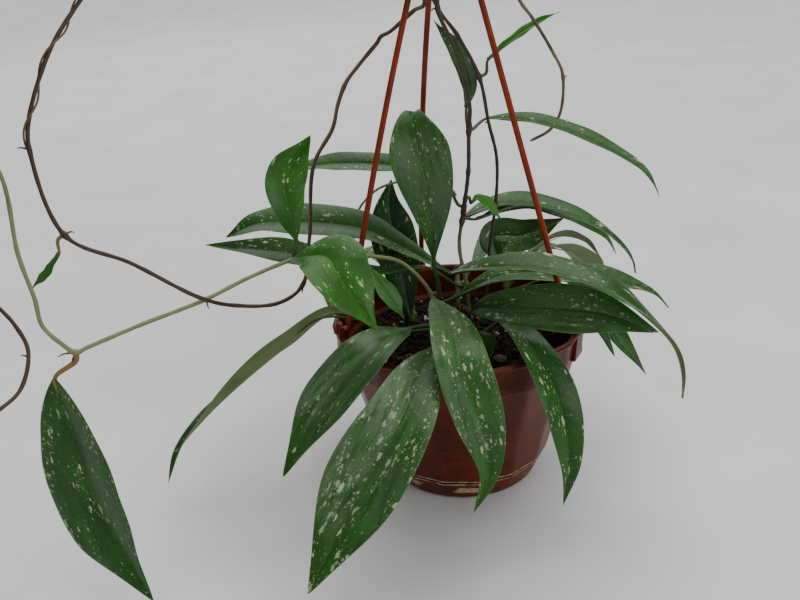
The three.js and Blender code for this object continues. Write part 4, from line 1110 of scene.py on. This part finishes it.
peat = crumbly("peat", [(16, 12, 10), (38, 29, 23), (70, 54, 40)], 420)
perlite = crumbly("perlite", [(176, 174, 168), (222, 220, 212), (140, 132, 118)], 600)
bark_chip = crumbly("bark_chip", [(86, 58, 34), (140, 98, 52), (180, 136, 76)], 500)
stone = crumbly("stone", [(82, 74, 60), (120, 108, 88), (60, 54, 46)], 260, 0.7)
print("mix materials:", peat.name, perlite.name, bark_chip.name, stone.name)

# %% Mound
SOIL_RADIUS, SOIL_LEVEL, MOUND_REACH = 70.4, 87.0, 71.35


def mound_height(x, y):
    """The plain solid's mound and lumps, plus crossing waves of a few millimetres' length."""
    fraction, angle = np.minimum(np.hypot(x, y) / MOUND_REACH, 1), np.arctan2(y, x)
    lumps = 0.9 * np.sin(3 * angle + 9 * fraction) * np.cos(5 * angle - 4 * fraction) * fraction
    crossed = np.sin(1.9 * x + 1) * np.sin(1.7 * y)
    fine = (np.sin(0.9 * x + 0.5 * y) + np.sin(1.1 * y - 0.7 * x + 2) + crossed) / 3
    return SOIL_LEVEL + 2.5 * (1 - fraction**2) + lumps + 0.45 * fine


a, r = circle(220), np.linspace(SOIL_RADIUS, 0.4, 90)[:, None]
x, y = r * np.cos(a), r * np.sin(a)
top = stacked(x, y, mound_height(x, y))
below = round_body(np.array([(0.4, 5.2), (44, 5.2), (50.4, 16.2), (53.2, 20.2), (69.6, 84)]), 220)
put("mound", [skin(np.concatenate([below, top]))], [peat], ["potting_mix"])
print("mound rings:", len(below) + len(top))

# %% Scattered stones
golden = (1 + 5**0.5) / 2
SIGNS = [(s, t * golden) for s in (-1, 1) for t in (-1, 1)]
CORNERS = unit([(s, t, 0) for s, t in SIGNS] + [(0, s, t) for s, t in SIGNS]
               + [(t, 0, s) for s, t in SIGNS])


def stone_faces():
    """The 20 triangles of the 12 corners: every three that are all neighbours."""
    near = np.linalg.norm(CORNERS[:, None] - CORNERS[None], axis=-1) < 1.1
    i, j, k = np.meshgrid(*[np.arange(12)] * 3, indexing="ij")
    pick = (i < j) & (j < k) & near[i, j] & near[j, k] & near[i, k]
    faces = np.stack([i[pick], j[pick], k[pick]], -1)
    p, q, r = (CORNERS[faces[:, n]] for n in range(3))
    wrong = np.einsum("ij,ij->i", p, np.cross(q, r)) < 0
    faces[wrong] = faces[wrong][:, ::-1]
    return faces


CRUMB_REACH = 68.5


def scattered(count, sizes, stretch, seed, centre=(0, 0), spread=CRUMB_REACH):
    """Many small stones: corners times a random size and stretch, turned at random, and sunk about
    a third into the mound. They fill the mound evenly, or a smaller round patch with a centre."""
    rng = np.random.default_rng(seed)
    radius = spread * np.sqrt(rng.random(count))
    angle = rng.random(count) * 2 * np.pi
    x, y = radius * np.cos(angle) + centre[0], radius * np.sin(angle) + centre[1]
    size = rng.uniform(*sizes, count)[:, None, None]
    shape = CORNERS[None] * (1 + 0.28 * rng.standard_normal((count, 12, 1))) * size * np.array(stretch)
    turn = np.linalg.qr(rng.standard_normal((count, 3, 3)))[0]
    shape = np.einsum("nij,nkj->nki", turn, shape)
    middle = stacked(x, y, mound_height(x, y) + 0.25 * size[:, 0, 0])
    points = (shape + middle[:, None]).reshape(-1, 3)
    faces = (stone_faces()[None] + 12 * np.arange(count)[:, None, None]).reshape(-1, 3)
    return {"points": points, "quads": np.zeros((0, 4), int), "fans": faces, "material": 0, "values": {}}


print("faces of one stone:", len(stone_faces()))

# %% Crumbs, perlite and bark
put("peat_crumbs", [scattered(1700, (0.5, 1.7), (1, 1, 0.7), 3)], [peat])
grains = [scattered(46, (0.6, 1.3), (1, 1, 0.8), 11),
          scattered(3, (1.2, 1.6), (1, 1, 1), 5, (7.4, 30.8), 1.5),
          scattered(3, (0.9, 1.3), (1, 1, 1), 6, (-21.5, 30.2), 2)]
put("perlite_grains", grains, [perlite])
put("bark_chips", [scattered(90, (0.7, 1.6), (1.9, 1, 0.35), 21)], [bark_chip])
print("clumps of perlite:", len(grains))

# %% Bark rings and a pebble
def bark_ring(x, y, size, lean):
    """A curled bark strip: a small ring with an uneven section, leaning on the mix."""
    a, b = circle(26)[:, None], circle(8)
    thick = 0.34 * size * (1 + 0.25 * np.sin(3 * a + x))
    reach = size * (1 + 0.12 * np.sin(2 * a)) + thick * np.cos(b)
    rise = reach * np.sin(a) * np.sin(lean) + thick * np.sin(b)
    ring = stacked(reach * np.cos(a), reach * np.sin(a) * np.cos(lean), rise)
    return skin(ring + np.array([x, y, mound_height(x, y) + 0.55 * size]), loop=True)


RINGS = [(-36.9, -26, 1.5, 0.5), (-32, -22.5, 1.7, 0.3), (-34.6, -24.6, 1.1, 0.9),
         (-40.5, -29.6, 0.9, 0.4), (2.4, 46.9, 1.5, 0.6), (4.6, 44.2, 1.2, 0.2)]
put("bark_rings", [bark_ring(*row) for row in RINGS], [bark_chip])
turn, height = circle(28), np.linspace(-0.97, 0.97, 15)[:, None]
wide = np.sqrt(1 - height**2)
pebble = stacked(4.4 * wide * np.cos(turn), 3.4 * wide * np.sin(turn), 2.6 * height)
pebble = pebble * (1 + 0.06 * np.sin(3 * turn + 2 * height))[..., None]
PEBBLE_X, PEBBLE_Y = 24.0, -31.6
seat = np.array([PEBBLE_X, PEBBLE_Y, mound_height(PEBBLE_X, PEBBLE_Y) + 1.4])
put("pebble", [skin(pebble + seat)], [stone])
print("bark rings:", len(RINGS), "and a pebble at", seat.round(1))

# %% [markdown]
# ## Floor and light
# A pale matte floor fills the view. A very soft sun gives the sheen on the leaves that face up and
# a faint shadow round the pot, two lamps like windows light the edges, and a pale sky the rest.

# %% Floor
floor_material, tree, shader = new_material("floor_pale", 0.9, 0.2)
where = object_place(tree)
wire(shader, Base_Color=mix(noise(where, 9, 4.0), (212, 212, 213), (234, 234, 236)))
bump(shader, noise(where, 30, 4.0), 0.15, 0.002)
FLOOR_CORNERS = [(-6, -6), (6, -6), (6, 9), (-6, 9)]
FLOOR_LEVEL = -0.0006
mesh = bpy.data.meshes.new("floor")
mesh.from_pydata([(x, y, FLOOR_LEVEL) for x, y in FLOOR_CORNERS], [], [(0, 1, 2, 3)])
mesh.materials.append(floor_material)
floor = bpy.data.objects.new("floor", mesh)
bpy.context.scene.collection.objects.link(floor)
floor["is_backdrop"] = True
print("floor laid")

# %% Light
PLANT_MIDDLE = (0, 0, 0.1)


def lamp(name, place, size, power, colour):
    """A square area lamp at a place, turned to shine on the middle of the plant."""
    light = bpy.data.lights.new(name, "AREA")
    light.size, light.energy, light.color = size, power, colour
    made = bpy.data.objects.new(name, light)
    z = unit(np.array(place) - np.array(PLANT_MIDDLE))
    x = unit(np.cross([0.02, 1, 0.01], z))
    turned = np.stack([x, np.cross(z, x), z], 1)
    made.matrix_world = Matrix([[*row, p] for row, p in zip(turned, place)] + [[0, 0, 0, 1]])
    bpy.context.scene.collection.objects.link(made)


sky = bpy.data.lights.new("skylight", "SUN")
sky.energy, sky.angle, sky.color = 2.3, np.radians(60), (1.0, 0.99, 0.96)
sky_lamp = bpy.data.objects.new("skylight", sky)
sky_lamp.rotation_euler = np.radians([-20, 8, 0])
bpy.context.scene.collection.objects.link(sky_lamp)
lamp("side_window", (1.2, -1.2, 1.1), 1.0, 12, (1.0, 1.0, 1.0))
lamp("back_window", (-0.5, 1.7, 1.3), 1.3, 6, (0.97, 0.98, 1.0))
world = bpy.data.worlds.new("pale_sky")
world.use_nodes = True
background = world.node_tree.nodes["Background"]
background.inputs["Color"].default_value = (0.93, 0.95, 1.0, 1)
background.inputs["Strength"].default_value = 0.32
bpy.context.scene.world = world
print("lamps and sky set")

# %% Size and finish
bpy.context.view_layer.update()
growth = 1000 * (np.array(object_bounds()) - np.array(cad_box))
print("box grew by", np.round(growth, 1).tolist(), "mm")
